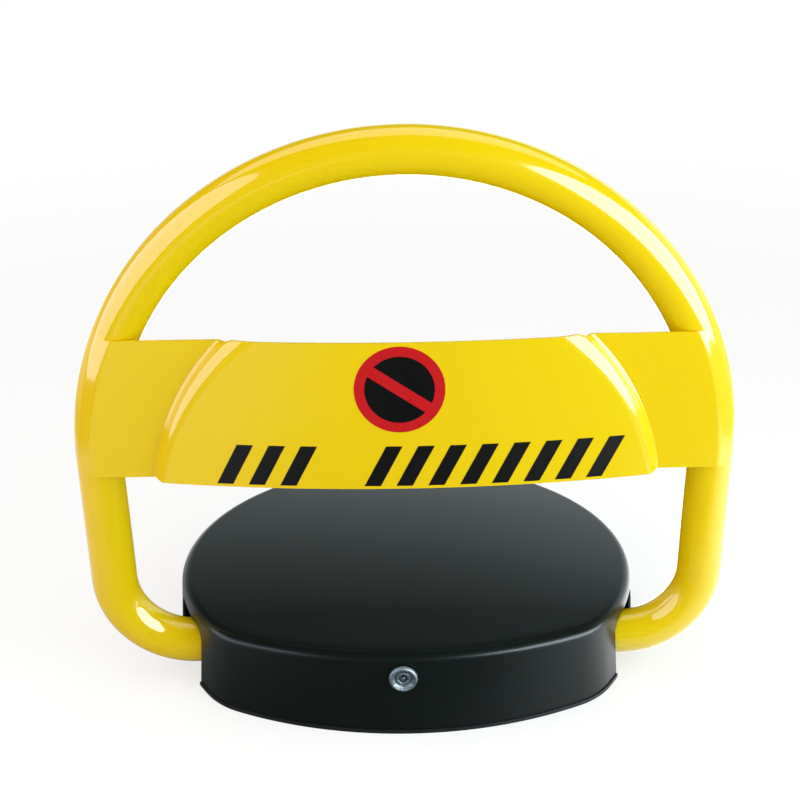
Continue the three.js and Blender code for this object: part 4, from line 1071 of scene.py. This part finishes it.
# What gloss mirrors of the surroundings, by the direction's own x, y and z
AMBIENT = 0.46
MIRROR_TINT = (0.88, 0.98, 1.0, 1)
FRONT_DIM = 0.14
FRONT_TO_BACK = (-0.25, 0.45)
NEAR_LEFT = (0.0, -0.2)
NEAR_LEFT_LOSS = 0.35
FAR_LEFT = (-0.2, -0.7)
FAR_LEFT_LOSS = 0.4
RIGHT_HALF = (0.0, 0.25)
RIGHT_HORIZON_LIFT = 0.07
HORIZON = (0.25, 0.41)
BELOW_HORIZON = 1.6
ABOVE_HORIZON = 0.08

# Lamps: some are seen only as mirror images, and some only as matt light. Some pass over the dark coated
# pieces, or light nothing else.
MIRRORED, SOFT = True, False
DARK_LEFT_OUT, DARK_ALONE = "EXCLUDE", "INCLUDE"
OBJECT_MIDDLE = 0.33
LAMP_GAP = 0.02


def floor():
    """Matt and pale near the object, and white to the camera further out."""
    finish = Finish("pale_floor")
    place = finish.place()
    across = finish.along("X", place)
    back = finish.along("Y", place)
    behind = back > 0
    away = finish.add("ShaderNodeVectorMath", {"operation": "LENGTH"}, {0: place}, "Value")
    far = finish.slope(away, *FLOOR_FADE)
    seen = finish.add("ShaderNodeLightPath", output="Is Camera Ray")
    mirrored = finish.add("ShaderNodeLightPath", output="Is Glossy Ray")
    through = finish.add("ShaderNodeLightPath", output="Is Transmission Ray")
    shown = seen.math("MAXIMUM", seen, (mirrored + through) * behind)
    matt = finish.matt(FLOOR_BOUNCE)
    lifted = finish.add("ShaderNodeAddShader", inputs={
        0: finish.matt(FLOOR_GREY),
        1: finish.glow(FLOOR_LIFT),
    })
    right = finish.slope(across + back * RIGHT_SLANT, *RIGHT_START)
    right = right * (1 - finish.slope(across, *RIGHT_END) * SIDE_LOSS)
    left = finish.slope(across, *LEFT_START) * (1 - finish.slope(across, *LEFT_END) * SIDE_LOSS)
    behind_right = finish.slope(back, *BEHIND_START) * finish.slope(across, *BEHIND_FROM_LEFT)
    sides = right * MIRRORED_RIGHT + left * MIRRORED_LEFT + behind_right + MIRRORED_FLOOR
    image = finish.glow(1.0, sides)
    near = finish.add("ShaderNodeMixShader", inputs={0: mirrored, 1: matt, 2: image})
    near = finish.add("ShaderNodeMixShader", inputs={0: seen, 1: near, 2: lifted})
    white = finish.glow(1.0)
    finish.add_output(finish.add("ShaderNodeMixShader", inputs={0: far * shown, 1: near, 2: white}))
    half = FLOOR_HALF / MM
    corners = [(-half, -half, 0), (half, -half, 0), (half, half, 0), (-half, half, 0)]
    mesh = new_mesh("floor", corners, [(0, 1, 2, 3)])
    mesh.materials.append(finish.material)
    plane = put_in_scene("floor", mesh)


def surroundings():
    """White to the camera. What gloss mirrors is bright behind the object and dim in front of it."""
    studio = Finish("studio")
    world = bpy.data.worlds.new("studio")
    scene.world = world
    world.use_nodes = True
    studio.tree = world.node_tree
    studio.tree.nodes.clear()
    direction = studio.add("ShaderNodeTexCoord", output="Generated")
    back = studio.slope(studio.along("Y", direction), *FRONT_TO_BACK)
    side = back * (1 - FRONT_DIM) + FRONT_DIM
    across = studio.along("X", direction)
    near_left = studio.slope(across, *NEAR_LEFT) * NEAR_LEFT_LOSS
    left = 1 - near_left - studio.slope(across, *FAR_LEFT) * FAR_LEFT_LOSS
    up = studio.along("Z", direction) - studio.slope(across, *RIGHT_HALF) * RIGHT_HORIZON_LIFT
    height = BELOW_HORIZON - studio.slope(up, *HORIZON) * (BELOW_HORIZON - ABOVE_HORIZON)
    mirrored = studio.add("ShaderNodeLightPath", output="Is Glossy Ray")
    through = studio.add("ShaderNodeLightPath", output="Is Transmission Ray")
    shown = mirrored + through
    seen = studio.add("ShaderNodeLightPath", output="Is Camera Ray")
    other = (1 - shown) * (1 - seen)
    plain = studio.add("ShaderNodeBackground", inputs={
        "Color": (1, 1, 1, 1),
        "Strength": seen + other * AMBIENT,
    })
    image = studio.add("ShaderNodeBackground", inputs={
        "Color": MIRROR_TINT,
        "Strength": side * left * height,
    })
    backdrop = studio.add("ShaderNodeMixShader", inputs={0: shown, 1: plain, 2: image})
    output = studio.tree.nodes.new("ShaderNodeOutputWorld")
    studio.tree.links.new(backdrop.socket, output.inputs["Surface"])


def lamp(name, place, turn, size, radiance, tint, mirrored, state=None):
    """A plain lamp with an oval outline, for mirror images or for matt light."""
    data = bpy.data.lights.new(name, "AREA")
    data.shape = "ELLIPSE"
    data.size, data.size_y = size
    area = math.pi / 4 * size[0] * size[1]
    data.energy = radiance * math.pi * area
    data.color = tint
    light = put_in_scene(name, data)
    light.location = place
    light.rotation_euler = turn
    light.visible_camera = False
    light.visible_diffuse = not mirrored
    light.visible_glossy = mirrored
    if state:
        chosen = bpy.data.collections.new(name + "_pieces")
        for piece in dark_pieces:
            chosen.objects.link(piece)
        for entry in chosen.collection_objects:
            entry.light_linking.link_state = state
        light.light_linking.receiver_collection = chosen


def window(name, azimuth, spread, low, high, distance, tint, radiance, mirrored, state=None):
    """An upright lamp, placed by the angles that it fills as seen from the object.

    Azimuth 0 is in front of the object, and 90 is to its right.
    """
    width = 2 * distance * math.tan(math.radians(spread / 2))
    bottom, top = [OBJECT_MIDDLE + distance * math.tan(math.radians(angle)) for angle in (low, high)]
    bottom = max(bottom, LAMP_GAP)
    turn = math.radians(azimuth)
    place = (math.sin(turn) * distance, -math.cos(turn) * distance, (bottom + top) / 2)
    lamp(name, place, (math.pi / 2, 0, turn), (width, top - bottom), radiance, tint, mirrored, state)


floor()
surroundings()

# Name, azimuth, spread, lowest and highest angle, distance, tint, radiance, kind
window("left_window_mirrored", -71, 80, -14, 48, 1.5, (0.84, 0.92, 1.12), 4.3, MIRRORED, DARK_LEFT_OUT)
window("left_strip_mirrored", -71, 80, -14, 8, 1.42, (0.92, 0.95, 1.06), 4.2, MIRRORED, DARK_ALONE)
window("left_window_soft", -71, 78, -16, 48, 1.35, (1.08, 0.92, 0.86), 1.3, SOFT)
window("right_window_mirrored", 58, 70, -10, 41, 1.5, (0.94, 0.98, 1.05), 15.0, MIRRORED, DARK_LEFT_OUT)
window("right_strip_mirrored", 58, 70, -12, 8, 1.42, (0.98, 0.98, 1.04), 15.5, MIRRORED, DARK_ALONE)
window("right_window_soft", 57, 76, -18, 43, 0.9, (0.8, 1.0, 0.96), 2.8, SOFT)

# Name, place, turn, size, radiance, tint, kind
lamp("top_mirrored", (0, 0.36, 1.6), (0, 0, 0), (2.8, 1.1), 2.3, (1, 1, 1.05), MIRRORED, DARK_LEFT_OUT)
lamp("top_soft", (0, 0.1, 1.5), (0, 0, 0), (1.4, 1.4), 0.75, (0.96, 1, 1), SOFT)

scene.view_settings.view_transform = "Standard"
